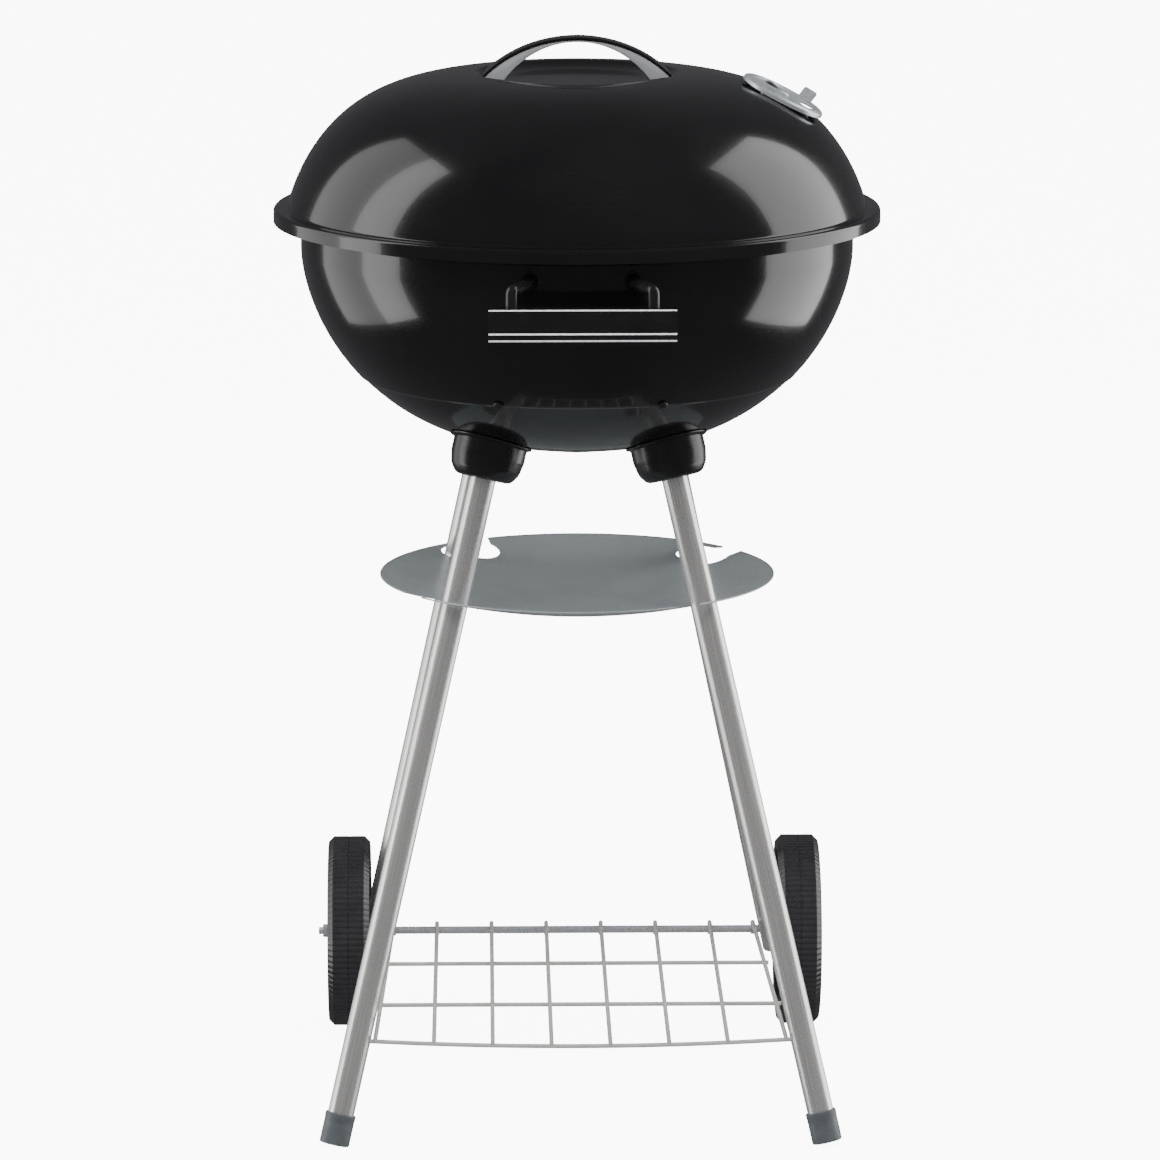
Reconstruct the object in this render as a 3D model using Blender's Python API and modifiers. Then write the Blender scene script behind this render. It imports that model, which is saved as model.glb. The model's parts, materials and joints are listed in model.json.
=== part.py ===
"""Kettle charcoal grill: bowl, lift-off lid, four splayed tube legs, ash catcher, wire shelf and two wheels.

Metres, +Z up. The origin is on the ground under the middle of the kettle. The front is -Y and the
wheels are at the back, so +X is on the right of someone standing in front of the grill.
"""
import math

import bmesh
import bpy
from mathutils import Matrix, Vector

# ---------------------------------------------------------------- fits
GAP = 0.0003                 # between two pieces that touch
HOLE_PLAY = 0.0003           # radial, screws and rivets in their holes
AXLE_PLAY = 0.0005           # radial, axle in wheels, washers and legs

# ---------------------------------------------------------------- kettle sheet
SHEET = 0.0012               # lid and bowl steel
SHELL_STEPS = 36

# ---------------------------------------------------------------- bowl
BOWL_BASE_Z = 0.5334         # outside of the bottom above the ground
BOWL_RADIUS = 0.2203         # outside of the wall
BOWL_DEPTH = 0.1595          # from the widest circle down to the bottom
BOWL_ROUND = 2.656           # superellipse exponent across
BOWL_FULL = 1.698            # superellipse exponent down
BOWL_WALL = 0.0259           # from the widest circle up to the middle of the rolled rim
BOWL_STEP = 0.0016           # the lower bowl is pressed in by this much
BOWL_STEP_DEPTH = 0.1010     # of the step below the widest circle
BOWL_FOOT_SLOPE = 0.25        # rise over run of the bowl where the legs meet it
RIM_ROLL = 0.0055            # outside radius of the rolled rim
RIM_REACH = 0.0137           # from the wall to the middle of the rolled rim
RIM_FILLET = 0.0030

# ---------------------------------------------------------------- lid
LID_RADIUS = 0.2354          # half width of the superellipse that the dome follows
LID_HEIGHT = 0.1344
LID_ROUND = 4.169
LID_FULL = 1.611
LID_SINK = 0.0267            # the widest circle of that curve lies this far below the ledge
SKIRT_PLAY = 0.0013          # from the rolled rim to the inside of the skirt
SKIRT_DEPTH = 0.0110
SKIRT_FILLET = 0.0025
DISH_RADIUS = 0.0805         # shallow round dish under the lid's handle
DISH_DEPTH = 0.0062
DISH_SHARPNESS = 10          # how suddenly the dish's floor turns up to its rim

# ---------------------------------------------------------------- lid handle
ARCH_HALF_SPAN = 0.1010      # outer ellipse of the arch
ARCH_RISE = 0.0900
ARCH_TOP = 0.0283            # top of the arch above the dome's crown
ARCH_INNER_HALF_SPAN = 0.0750
ARCH_INNER_RISE = 0.0830
ARCH_MIDDLE = 0.0040         # thickness of the arch at its middle
GRIP_THICK = 0.0022
GRIP_WIDTH = 0.0200
BRACKET_WIDTH = 0.0180
HANDLE_BOLT_X = 0.0645
HANDLE_BOLT_RADIUS = 0.0025
HANDLE_BOLT_GRIP = 0.0040    # length inside the bracket

# ---------------------------------------------------------------- dampers
DAMPER_DISTANCE = 0.1635     # middle of the lid damper from the lid's axis
DAMPER_TURN = -5.0           # degrees round the lid, from the right-hand side
DAMPER_RADIUS = 0.0350
DAMPER_SHEET = 0.0010
DAMPER_LIP = 0.0020
DAMPER_STAND = 0.0009        # above the dome
DAMPER_HOLE = 0.0073         # radius
DAMPER_HOLE_CIRCLE = 0.0206
DAMPER_HOLES = 3
DAMPER_TAB = (0.0130, 0.0090)     # width and height
DAMPER_TAB_TURN = 62.0       # degrees round the disc
RIVET_RADIUS = 0.0020
RIVET_SLACK = 0.0012         # under the dome's curved sheet
RIVET_HEAD = (0.0040, 0.0016)     # radius and height
BOTTOM_DAMPER_RADIUS = 0.0370
BOTTOM_TAB = (0.0140, 0.0120)
BOTTOM_TAB_TURN = 90.0

# ---------------------------------------------------------------- front handle
FRONT_HANDLE_REACH = 0.0427  # foremost line of the handle from the bowl's wall
FRONT_HANDLE_LENGTH = 0.1430
FRONT_HANDLE_HEIGHT = 0.0245
FRONT_HANDLE_DEPTH = 0.0140
FRONT_HANDLE_SHEET = 0.0015
FRONT_HANDLE_HEM = 0.0025    # the lower lip stands out by this much
FRONT_HANDLE_DROP = 0.0099   # top of the handle below the bowl's widest circle
ARM_RADIUS = 0.0045
ARM_ROOT_X = 0.0400
ARM_TIP_X = 0.0540
ARM_RAISE = 0.0041           # arm axis above the bowl's widest circle
ARM_STRAIGHT = 0.0090
ARM_SCREW_RADIUS = 0.0020
ARM_SCREW_HEAD = (0.0040, 0.0024)
ARM_SCREW_REACH = 0.0070     # length inside the arm

# ---------------------------------------------------------------- legs
LEG_RADIUS = 0.0105
LEG_WALL = 0.0010
LEG_SIDES = 16
LEG_TOP_X = 0.0772           # leg axes where they meet the socket height
LEG_TOP_Y = 0.0830
LEG_TOP_DROP = 0.0194        # of that height below the bowl's bottom
FRONT_FOOT_X = 0.1960
FRONT_FOOT_Y = 0.1800
REAR_LEG_AXLE_X = 0.1680
REAR_LEG_TAIL = 0.0160       # leg below the axle
LEG_CAP_WALL = 0.0040        # closed top end of the tube
SOCKET_RADIUS = 0.0295
SOCKET_END_RADIUS = 0.0190
SOCKET_LENGTH = 0.0290
SOCKET_FLANGE = 0.0330
SOCKET_FLANGE_SHEET = 0.0020
SOCKET_GRIP = 0.0190         # leg inside the socket
LEG_BOLT_RADIUS = 0.0030
LEG_BOLT_HEAD = (0.0060, 0.0040)
LEG_BOLT_SPACE = 0.0015       # under the head's lower edge, for the bowl's curve
FOOT_CAP_WALL = 0.0012
FOOT_CAP_LENGTH = 0.0250
FOOT_CAP_FLOOR = 0.0040
FOOT_FLAT = 0.0015           # worn off the low corner, which gives the foot its flat

# ---------------------------------------------------------------- wheels and axle
WHEEL_RADIUS = 0.0800
WHEEL_WIDTH = 0.0350
WHEEL_SHOULDER = 0.0045
WHEEL_TREAD = 0.0120         # radial thickness of the tread ring
WHEEL_LEG_SPACE = 0.0108      # from the rear leg to the middle of the wheel
AXLE_Y = 0.1830
AXLE_RADIUS = 0.0032
WEB_INNER = -0.0010          # faces of the web and hub, measured outwards from the wheel's middle
WEB_OUTER = 0.0040
HUB_INNER = -0.0060
HUB_OUTER = 0.0172
HUB_RADIUS = 0.0160
WHEEL_STEPS = 32
NUT_FLATS = 0.0100
NUT_THICK = 0.0050
AXLE_TIP = 0.0036            # thread past the nut
AXLE_HEAD = (0.0048, 0.0034)
WASHER_RADIUS = 0.0070
WASHER_THICK = 0.0020

# ---------------------------------------------------------------- wire shelf
SHELF_WIRE = 0.0018
SHELF_PITCH = 0.0462
SHELF_OUTER_REAR_X = 0.1520  # the outer wires draw in at the back to pass inside the legs
SHELF_LEG_SPACE = 0.0030       # from the front leg's side to the middle of the outer wires
SHELF_LONG_WIRES = 8
SHELF_CROSS_Y = (0.0650, -0.0610)
SHELF_BOW = 0.0190           # of the front wire
SHELF_HOOK = 0.0110
SHELF_HOLE_PLAY = 0.0006     # radial, front wire in the legs
WELD = 0.0008                # overlap of two welded wires

# ---------------------------------------------------------------- ash catcher
ASH_RADIUS = 0.1590
ASH_DEPTH = 0.0250
ASH_SHEET = 0.0010
ASH_DROP = 0.1071            # rim below the bowl's bottom
ASH_SLOT_PLAY = 0.0020       # from a leg to the side of its slot
ASH_KEY_RADIUS = 0.0180
ASH_TWIST = 9.0              # degrees from a leg to the middle of its keyhole
ASH_MOUTH = (6.9, 16.8)      # degrees from a leg to the two sides of an open mouth

# ---------------------------------------------------------------- grates
COOK_RADIUS = 0.2080         # middle of the ring's wire
COOK_WIRE = 0.0030
COOK_BAR = 0.0018
COOK_PITCH = 0.0225
COOK_BARS = 17
COOK_RAISE = 0.0040          # middle of the ring above the bowl's widest circle
COAL_RADIUS = 0.1600
COAL_WIRE = 0.0030
COAL_BAR = 0.0027
COAL_PITCH = 0.0255
COAL_BARS = 11
COAL_DROP = 0.0860           # middle of the ring below the bowl's widest circle
GRATE_WELD = 0.0013          # overlap of two welded bars
STAY_SHARE = 0.45            # stays under the bars, as a share of the ring's radius from the middle
TAB_WIDTH = 0.0160
TAB_SHEET = 0.0020
TAB_REACH = 0.0190
TAB_HEIGHT = 0.0140
COAL_BOLT_X = 0.0635
COAL_BOLT_DROP = 0.1000
COAL_TAB_REACH = 0.0240
COAL_BOLT_RADIUS = 0.0022
COAL_BOLT_HEAD = (0.0042, 0.0022)

# ---------------------------------------------------------------- derived levels
EQUATOR_Z = BOWL_BASE_Z + BOWL_DEPTH
RIM_Z = EQUATOR_Z + BOWL_WALL
FRONT_HANDLE_FRONT = BOWL_RADIUS + FRONT_HANDLE_REACH
WHEEL_X = REAR_LEG_AXLE_X + LEG_RADIUS + WHEEL_LEG_SPACE
RIM_R = BOWL_RADIUS + RIM_REACH
LEDGE_Z = RIM_Z + RIM_ROLL + GAP + SHEET
SKIRT_R = RIM_R + RIM_ROLL + SKIRT_PLAY + SHEET
DOME_Z = LEDGE_Z - LID_SINK
LEG_TOP_Z = BOWL_BASE_Z - LEG_TOP_DROP
AXLE_Z = WHEEL_RADIUS
ASH_RIM_Z = BOWL_BASE_Z - ASH_DROP

SIDES = {"left": -1.0, "right": 1.0}
ENDS = {"front": -1.0, "rear": 1.0}

for old in list(bpy.data.objects):
    bpy.data.objects.remove(old, do_unlink=True)

PARTS = bpy.data.collections.new("kettle_charcoal_grill")
CUTTERS = bpy.data.collections.new("cutters")
bpy.context.scene.collection.children.link(PARTS)
bpy.context.scene.collection.children.link(CUTTERS)


# ================================================================ finishes
def finish(name, colour, roughness, metallic):
    material = bpy.data.materials.new(name)
    material.use_nodes = True
    shader = material.node_tree.nodes["Principled BSDF"]
    shader.inputs["Base Color"].default_value = (*colour, 1.0)
    shader.inputs["Roughness"].default_value = roughness
    shader.inputs["Metallic"].default_value = metallic
    return material


ENAMEL = ((0.010, 0.010, 0.011), 0.16, 0.0)
BLACK_PLASTIC = ((0.012, 0.012, 0.013), 0.32, 0.0)
CHROME = ((0.80, 0.81, 0.83), 0.08, 1.0)
STEEL_TUBE = ((0.62, 0.62, 0.61), 0.26, 1.0)
ZINC = ((0.55, 0.58, 0.60), 0.32, 1.0)
GREY_PAINT = ((0.24, 0.27, 0.27), 0.35, 0.2)
WIRE_PLATE = ((0.68, 0.68, 0.68), 0.20, 1.0)
CAP_PLASTIC = ((0.06, 0.07, 0.075), 0.45, 0.0)


# ================================================================ tools for making pieces
def add_part(name, data, look, place=None):
    """A named piece with its own material, at the matrix given."""
    piece = bpy.data.objects.new(name, data)
    PARTS.objects.link(piece)
    data.materials.append(finish(name, *look))
    if place is not None:
        piece.matrix_world = place
    return piece


def add_cutter(name, data, place=None):
    """A shape that only cuts or joins pieces."""
    cutter = bpy.data.objects.new(name, data)
    CUTTERS.objects.link(cutter)
    cutter.hide_render = True
    cutter.display_type = "WIRE"
    if place is not None:
        cutter.matrix_world = place
    return cutter


def along(start, direction):
    """Matrix that puts a shape's own Z along a direction."""
    turn = Vector(direction).to_track_quat("Z", "Y").to_matrix().to_4x4()
    return Matrix.Translation(Vector(start)) @ turn


def profile_mesh(name, points, closed=False):
    """Edges of a profile in the plane of X (radius) and Z (height)."""
    mesh = bpy.data.meshes.new(name)
    count = len(points)
    edges = [(index, index + 1) for index in range(count - 1)]
    if closed:
        edges.append((count - 1, 0))
    mesh.from_pydata([(radius, 0.0, height) for radius, height in points], edges, [])
    return mesh


def turn(piece, steps):
    """Sweeps a profile round its own Z."""
    screw = piece.modifiers.new("turned", "SCREW")
    screw.axis = "Z"
    screw.steps = steps
    screw.render_steps = steps
    screw.use_merge_vertices = True
    screw.merge_threshold = 0.00002
    screw.use_smooth_shade = True
    return piece


def thicken(piece, sheet):
    """Gives an open surface its sheet thickness, on the side away from its normals."""
    solid = piece.modifiers.new("sheet", "SOLIDIFY")
    solid.thickness = sheet
    solid.offset = -1.0
    solid.use_even_offset = True
    return piece


def combine(piece, other, operation):
    """Cuts with, joins to or keeps what is inside another shape."""
    boolean = piece.modifiers.new(operation.lower(), "BOOLEAN")
    boolean.operation = operation
    boolean.solver = "EXACT"
    boolean.object = other
    return piece


def rod_mesh(name, radius, low, high, sides):
    """Round bar on its own Z, from low to high."""
    mesh = bpy.data.meshes.new(name)
    form = bmesh.new()
    depth = high - low
    bmesh.ops.create_cone(form, cap_ends=True, segments=sides, radius1=radius, radius2=radius, depth=depth)
    bmesh.ops.translate(form, verts=form.verts, vec=(0.0, 0.0, (high + low) / 2))
    form.to_mesh(mesh)
    form.free()
    mesh.shade_smooth()
    mesh.set_sharp_from_angle(angle=math.radians(40))
    return mesh


def box_mesh(name, low, high):
    mesh = bpy.data.meshes.new(name)
    form = bmesh.new()
    bmesh.ops.create_cube(form, size=1.0)
    size = [b - a for a, b in zip(low, high)]
    middle = [(b + a) / 2 for a, b in zip(low, high)]
    bmesh.ops.scale(form, verts=form.verts, vec=size)
    bmesh.ops.translate(form, verts=form.verts, vec=middle)
    form.to_mesh(mesh)
    form.free()
    return mesh


def drill(piece, name, radius, place, low, high, sides=16):
    """Round hole through a piece, along the Z of a matrix."""
    return combine(piece, add_cutter(name, rod_mesh(name, radius, low, high, sides), place), "DIFFERENCE")


def plate_curve(name, outline, half_thickness):
    """Flat outline in its own XY plane, with the same thickness on both sides of it."""
    curve = bpy.data.curves.new(name, "CURVE")
    curve.dimensions = "2D"
    curve.fill_mode = "BOTH"
    curve.extrude = half_thickness
    spline = curve.splines.new("POLY")
    spline.points.add(len(outline) - 1)
    for point, (x, y) in zip(spline.points, outline):
        point.co = (x, y, 0.0, 1.0)
    spline.use_cyclic_u = True
    return curve


def wire_curve(name, paths, radius, smoothness=1):
    """Round wires along one or more lists of points."""
    curve = bpy.data.curves.new(name, "CURVE")
    curve.dimensions = "3D"
    curve.bevel_depth = radius
    curve.bevel_resolution = smoothness
    curve.use_fill_caps = True
    for path in paths:
        spline = curve.splines.new("POLY")
        spline.points.add(len(path) - 1)
        for point, place in zip(spline.points, path):
            point.co = (*place, 1.0)
    return curve


def curve_to_mesh(name, curve, place=None):
    """The same shape as a closed mesh, so that it can be cut and joined."""
    guide = bpy.data.objects.new(name + "_curve", curve)
    CUTTERS.objects.link(guide)
    if place is not None:
        guide.matrix_world = place
    bpy.context.view_layer.update()
    evaluated = guide.evaluated_get(bpy.context.evaluated_depsgraph_get())
    mesh = bpy.data.meshes.new_from_object(evaluated)
    mesh.name = name
    bpy.data.objects.remove(guide, do_unlink=True)
    form = bmesh.new()
    form.from_mesh(mesh)
    bmesh.ops.remove_doubles(form, verts=form.verts, dist=0.00001)
    bmesh.ops.recalc_face_normals(form, faces=form.faces)
    form.to_mesh(mesh)
    form.free()
    mesh.materials.clear()
    return mesh


def arc(centre, radius, start, end, steps):
    """Points on an arc, in degrees, ends included."""
    angles = [math.radians(start + (end - start) * index / steps) for index in range(steps + 1)]
    return [(centre[0] + radius * math.cos(a), centre[1] + radius * math.sin(a)) for a in angles]


def headed_profile(head, shank_radius, shank_length, tail=None):
    """Domed head above z = 0 and shank below it, closed on the axis; a tail is a rivet's second head."""
    head_radius, head_height = head
    points = [(0.0, head_height), (head_radius * 0.6, head_height * 0.85), (head_radius, 0.0)]
    points += [(shank_radius, 0.0), (shank_radius, -shank_length)]
    if tail is not None:
        points += [(tail[0], -shank_length), (tail[0], -shank_length - tail[1])]
        points += [(0.0, -shank_length - tail[1])]
    else:
        points += [(0.0, -shank_length)]
    return points


# ================================================================ kettle curves
def bowl_z(radius):
    """Height of the bowl's outside at a distance from its axis, below the widest circle."""
    share = min(radius / BOWL_RADIUS, 1.0) ** BOWL_ROUND
    return EQUATOR_Z - BOWL_DEPTH * (1.0 - share) ** (1.0 / BOWL_FULL)


def bowl_r(height):
    """Outside radius of the bowl at a height below the widest circle."""
    share = min(max((EQUATOR_Z - height) / BOWL_DEPTH, 0.0), 1.0) ** BOWL_FULL
    radius = BOWL_RADIUS * (1.0 - share) ** (1.0 / BOWL_ROUND)
    return radius - (BOWL_STEP if height < EQUATOR_Z - BOWL_STEP_DEPTH else 0.0)


def lid_z(radius):
    """Height of the dome's outside at a distance from the lid's axis."""
    share = (radius / LID_RADIUS) ** LID_ROUND
    return DOME_Z + LID_HEIGHT * (1.0 - share) ** (1.0 / LID_FULL)


CROWN_Z = lid_z(DISH_RADIUS)


def dish_z(radius):
    """Floor of the dish in the lid's crown: nearly flat, with a rounded rise to its rim."""
    return CROWN_Z - DISH_DEPTH * (1.0 - (radius / DISH_RADIUS) ** DISH_SHARPNESS)


def bowl_curve(growth=0.0):
    """Outside of the bowl from its widest circle to the middle of its bottom, grown along its normals."""
    step_z = EQUATOR_Z - BOWL_STEP_DEPTH
    heights = [EQUATOR_Z - BOWL_STEP_DEPTH * share for share in (0.0, 0.25, 0.48, 0.68, 0.85, 1.0)]
    points = [(bowl_r(height), height) for height in heights]
    points.append((points[-1][0] - BOWL_STEP, step_z - BOWL_STEP * 0.4))
    start = points[-1][0]
    for share in (0.90, 0.76, 0.57, 0.32):
        radius = start * share
        points.append((radius, bowl_z(radius + BOWL_STEP)))
    points.append((0.0, BOWL_BASE_Z))
    if growth == 0.0:
        return points
    return grow(points, growth)


def grow(points, distance):
    """Moves a profile that runs top to bottom on its outer side outwards, and keeps its end on the axis."""
    moved = []
    for index, (radius, height) in enumerate(points):
        before = Vector(points[max(index - 1, 0)])
        after = Vector(points[min(index + 1, len(points) - 1)])
        run = (after - before).normalized()
        normal = Vector((-run.y, run.x))
        if radius == 0.0:
            normal = Vector((0.0, -1.0 if run.x < 0 else 1.0))
        moved.append((radius + normal.x * distance, height + normal.y * distance))
    return moved


# ================================================================ bowl
def bowl_form(name, growth):
    """Solid that follows the bowl's outside at a distance, for cutting what sits against it."""
    points = [(0.0, EQUATOR_Z + 0.01), (BOWL_RADIUS + growth, EQUATOR_Z + 0.01)] + bowl_curve(growth)
    return turn(add_cutter(name, profile_mesh(name, points)), SHELL_STEPS)


def bowl_cavity(name, clearance):
    """Solid that fills the bowl's inside up to its mouth, less a clearance."""
    inner = grow(bowl_curve(), -(SHEET + clearance))
    top = RIM_Z + 0.02
    points = [(0.0, top), (inner[0][0], top)] + inner
    return turn(add_cutter(name, profile_mesh(name, points)), SHELL_STEPS)


def make_bowl():
    curl = RIM_ROLL - SHEET
    rim = arc((RIM_R, RIM_Z), curl, -165.0, 90.0, 5)
    corner = arc((BOWL_RADIUS + RIM_FILLET, RIM_Z + curl - RIM_FILLET), RIM_FILLET, 90.0, 180.0, 1)
    points = rim + corner + bowl_curve()
    bowl = add_part("bowl_shell", profile_mesh("bowl_shell", points), ENAMEL)
    thicken(turn(bowl, SHELL_STEPS), SHEET)
    for index in range(DAMPER_HOLES):
        angle = 2 * math.pi * index / DAMPER_HOLES
        spot = Vector((math.cos(angle), math.sin(angle), 0.0)) * DAMPER_HOLE_CIRCLE
        place = Matrix.Translation(spot + Vector((0.0, 0.0, BOWL_BASE_Z)))
        drill(bowl, f"bowl_vent_{index}", DAMPER_HOLE, place, -0.01, 0.01, 12)
    middle = Matrix.Translation((0.0, 0.0, BOWL_BASE_Z))
    drill(bowl, "bowl_rivet_hole", RIVET_RADIUS + HOLE_PLAY, middle, -0.01, 0.01, 8)
    return bowl


# ================================================================ lid
def lid_profile():
    """Outside of the lid: dish, dome, ledge and skirt, from the crown down."""
    points = [(DISH_RADIUS * share, dish_z(DISH_RADIUS * share)) for share in (0.0, 0.70, 0.87, 0.96)]
    low = math.asin((LID_SINK / LID_HEIGHT) ** (LID_FULL / 2))
    high = math.acos((DISH_RADIUS / LID_RADIUS) ** (LID_ROUND / 2))
    steps = 8
    for index in range(steps):
        angle = high + (low - high) * index / steps
        radius = LID_RADIUS * math.cos(angle) ** (2 / LID_ROUND)
        points.append((radius, lid_z(radius)))
    foot = LID_RADIUS * math.cos(low) ** (2 / LID_ROUND)
    points += [(foot, LEDGE_Z + 0.0012), (foot + 0.0012, LEDGE_Z)]
    points += arc((SKIRT_R - SKIRT_FILLET, LEDGE_Z - SKIRT_FILLET), SKIRT_FILLET, 90.0, 0.0, 2)
    points.append((SKIRT_R, LEDGE_Z - SKIRT_DEPTH))
    return points


def damper_place():
    """Matrix of the lid damper: on the dome, its Z along the dome's normal and its X away from the crown."""
    step = 0.0005
    slope = (lid_z(DAMPER_DISTANCE + step) - lid_z(DAMPER_DISTANCE - step)) / (2 * step)
    tilt = math.atan(-slope)
    round_lid = Matrix.Rotation(math.radians(DAMPER_TURN), 4, "Z")
    spot = Matrix.Translation((DAMPER_DISTANCE, 0.0, lid_z(DAMPER_DISTANCE)))
    return round_lid @ spot @ Matrix.Rotation(tilt, 4, "Y")


def make_lid():
    lid = add_part("lid_shell", profile_mesh("lid_shell", lid_profile()), ENAMEL)
    thicken(turn(lid, SHELL_STEPS), SHEET)
    seat = damper_place()
    for index in range(DAMPER_HOLES):
        angle = 2 * math.pi * index / DAMPER_HOLES
        spot = Matrix.Translation(Vector((math.cos(angle), math.sin(angle), 0.0)) * DAMPER_HOLE_CIRCLE)
        drill(lid, f"lid_vent_{index}", DAMPER_HOLE, seat @ spot, -0.02, 0.02, 12)
    drill(lid, "lid_rivet_hole", RIVET_RADIUS + HOLE_PLAY, seat, -0.02, 0.02, 8)
    for side, sign in SIDES.items():
        place = Matrix.Translation((sign * HANDLE_BOLT_X, 0.0, dish_z(HANDLE_BOLT_X)))
        drill(lid, f"lid_handle_hole_{side}", HANDLE_BOLT_RADIUS + HOLE_PLAY, place, -0.01, 0.01, 8)
    return lid


def dish_form(name, growth):
    """Solid under the lid's crown, for cutting the handle's feet to the dish."""
    radii = [DISH_RADIUS * share for share in (0.0, 0.70, 0.87, 0.96)]
    points = [(radius, dish_z(radius) + growth) for radius in radii]
    edge = DISH_RADIUS + 0.02
    points += [(DISH_RADIUS, CROWN_Z + growth), (edge, CROWN_Z + growth)]
    points += [(edge, CROWN_Z - 0.04), (0.0, CROWN_Z - 0.04)]
    return turn(add_cutter(name, profile_mesh(name, points)), SHELL_STEPS)


def arch_line(half_span, rise, top, foot_z, steps=16):
    """Points on the upper part of an ellipse, from its left foot over the top to its right foot."""
    drop = min((foot_z - (top - rise)) / rise, 1.0)
    start = math.degrees(math.asin(max(drop, 0.0)))
    angles = [math.radians(180 - start - (180 - 2 * start) * index / steps) for index in range(steps + 1)]
    return [(half_span * math.cos(a), top - rise + rise * math.sin(a)) for a in angles]


def make_lid_handle():
    top = CROWN_Z + ARCH_TOP
    foot = CROWN_Z - DISH_DEPTH - 0.002
    upright = Matrix.Rotation(math.radians(90), 4, "X")
    form = dish_form("lid_dish_form", GAP)

    outer = arch_line(ARCH_HALF_SPAN, ARCH_RISE, top, foot)
    inner = arch_line(ARCH_HALF_SPAN - GRIP_THICK, ARCH_RISE - GRIP_THICK, top - GRIP_THICK, foot)
    band = curve_to_mesh("lid_handle_grip", plate_curve("grip", outer + inner[::-1], GRIP_WIDTH / 2), upright)
    grip = add_part("lid_handle_grip", band, BLACK_PLASTIC, upright)
    combine(grip, form, "DIFFERENCE")

    under = GRIP_THICK + GAP
    outer = arch_line(ARCH_HALF_SPAN - under, ARCH_RISE - under, top - under, foot)
    inner = arch_line(ARCH_INNER_HALF_SPAN, ARCH_INNER_RISE, top - ARCH_MIDDLE, foot)
    crescent = plate_curve("bracket", outer + inner[::-1], BRACKET_WIDTH / 2)
    bracket_mesh = curve_to_mesh("lid_handle_bracket", crescent, upright)
    bracket = add_part("lid_handle_bracket", bracket_mesh, CHROME, upright)
    combine(bracket, form, "DIFFERENCE")

    for side, sign in SIDES.items():
        floor = dish_z(HANDLE_BOLT_X)
        through = Matrix.Translation((sign * HANDLE_BOLT_X, 0.0, floor))
        reach = HANDLE_BOLT_GRIP + GAP
        drill(bracket, f"bracket_bore_{side}", HANDLE_BOLT_RADIUS + HOLE_PLAY, through, -0.01, reach + GAP, 8)
        inside = floor - SHEET - 2 * GAP
        length = reach + floor - inside
        points = headed_profile((0.0050, 0.0032), HANDLE_BOLT_RADIUS, length)
        down = Matrix.Translation((sign * HANDLE_BOLT_X, 0.0, inside)) @ Matrix.Rotation(math.pi, 4, "X")
        name = f"lid_handle_bolt_{side}"
        turn(add_part(name, profile_mesh(name, points), ZINC, down), 8)
    return grip, bracket


# ================================================================ dampers
def make_damper(name, radius, lip, tab, tab_turn, place, look):
    """Disc with a rolled lip, three holes and a bent-up tab. Its underside is at z = 0 of the matrix."""
    top = DAMPER_SHEET
    points = [(0.0, top), (radius - 0.0012, top), (radius, top - 0.0010), (radius, -lip)]
    points += [(radius - DAMPER_SHEET, -lip), (radius - DAMPER_SHEET, 0.0), (0.0, 0.0)]
    disc = turn(add_part(name, profile_mesh(name, points), look, place), 24)
    width, height = tab
    sheet = DAMPER_SHEET
    root = radius - 0.006
    blade = box_mesh(name + "_tab", (root, -width / 2, 0.0), (radius + height * 0.5, width / 2, sheet))
    turned = place @ Matrix.Rotation(math.radians(tab_turn), 4, "Z")
    combine(disc, add_cutter(name + "_tab", blade, turned), "UNION")
    stand = turned @ Matrix.Translation((radius + height * 0.5 - sheet, 0.0, 0.0))
    upright = box_mesh(name + "_tab_end", (0.0, -width / 2, 0.0), (sheet, width / 2, height))
    combine(disc, add_cutter(name + "_tab_end", upright, stand), "UNION")
    for index in range(DAMPER_HOLES):
        angle = 2 * math.pi * index / DAMPER_HOLES
        spot = Matrix.Translation(Vector((math.cos(angle), math.sin(angle), 0.0)) * DAMPER_HOLE_CIRCLE)
        drill(disc, f"{name}_hole_{index}", DAMPER_HOLE, place @ spot, -0.01, 0.01, 12)
    drill(disc, f"{name}_rivet_hole", RIVET_RADIUS + HOLE_PLAY, place, -0.01, 0.01, 8)
    return disc


def make_rivet(name, place, grip):
    """Rivet with its domed head on z = 0 of the matrix and its tail under what it holds."""
    points = headed_profile(RIVET_HEAD, RIVET_RADIUS, grip, (RIVET_HEAD[0], 0.0012))
    return turn(add_part(name, profile_mesh(name, points), ZINC, place), 8)


def make_dampers():
    seat = damper_place() @ Matrix.Translation((0.0, 0.0, DAMPER_STAND))
    make_damper("lid_damper", DAMPER_RADIUS, DAMPER_LIP, DAMPER_TAB, DAMPER_TAB_TURN, seat, ZINC)
    head = seat @ Matrix.Translation((0.0, 0.0, DAMPER_SHEET + GAP))
    make_rivet("lid_damper_rivet", head, DAMPER_SHEET + 2 * GAP + DAMPER_STAND + SHEET + RIVET_SLACK)

    below = Matrix.Translation((0.0, 0.0, BOWL_BASE_Z - 2 * GAP)) @ Matrix.Rotation(math.pi, 4, "X")
    make_damper("bottom_damper", BOTTOM_DAMPER_RADIUS, 0.0, BOTTOM_TAB, -BOTTOM_TAB_TURN, below, ZINC)
    head = below @ Matrix.Translation((0.0, 0.0, DAMPER_SHEET + GAP))
    make_rivet("bottom_damper_rivet", head, DAMPER_SHEET + 4 * GAP + SHEET)


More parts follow.
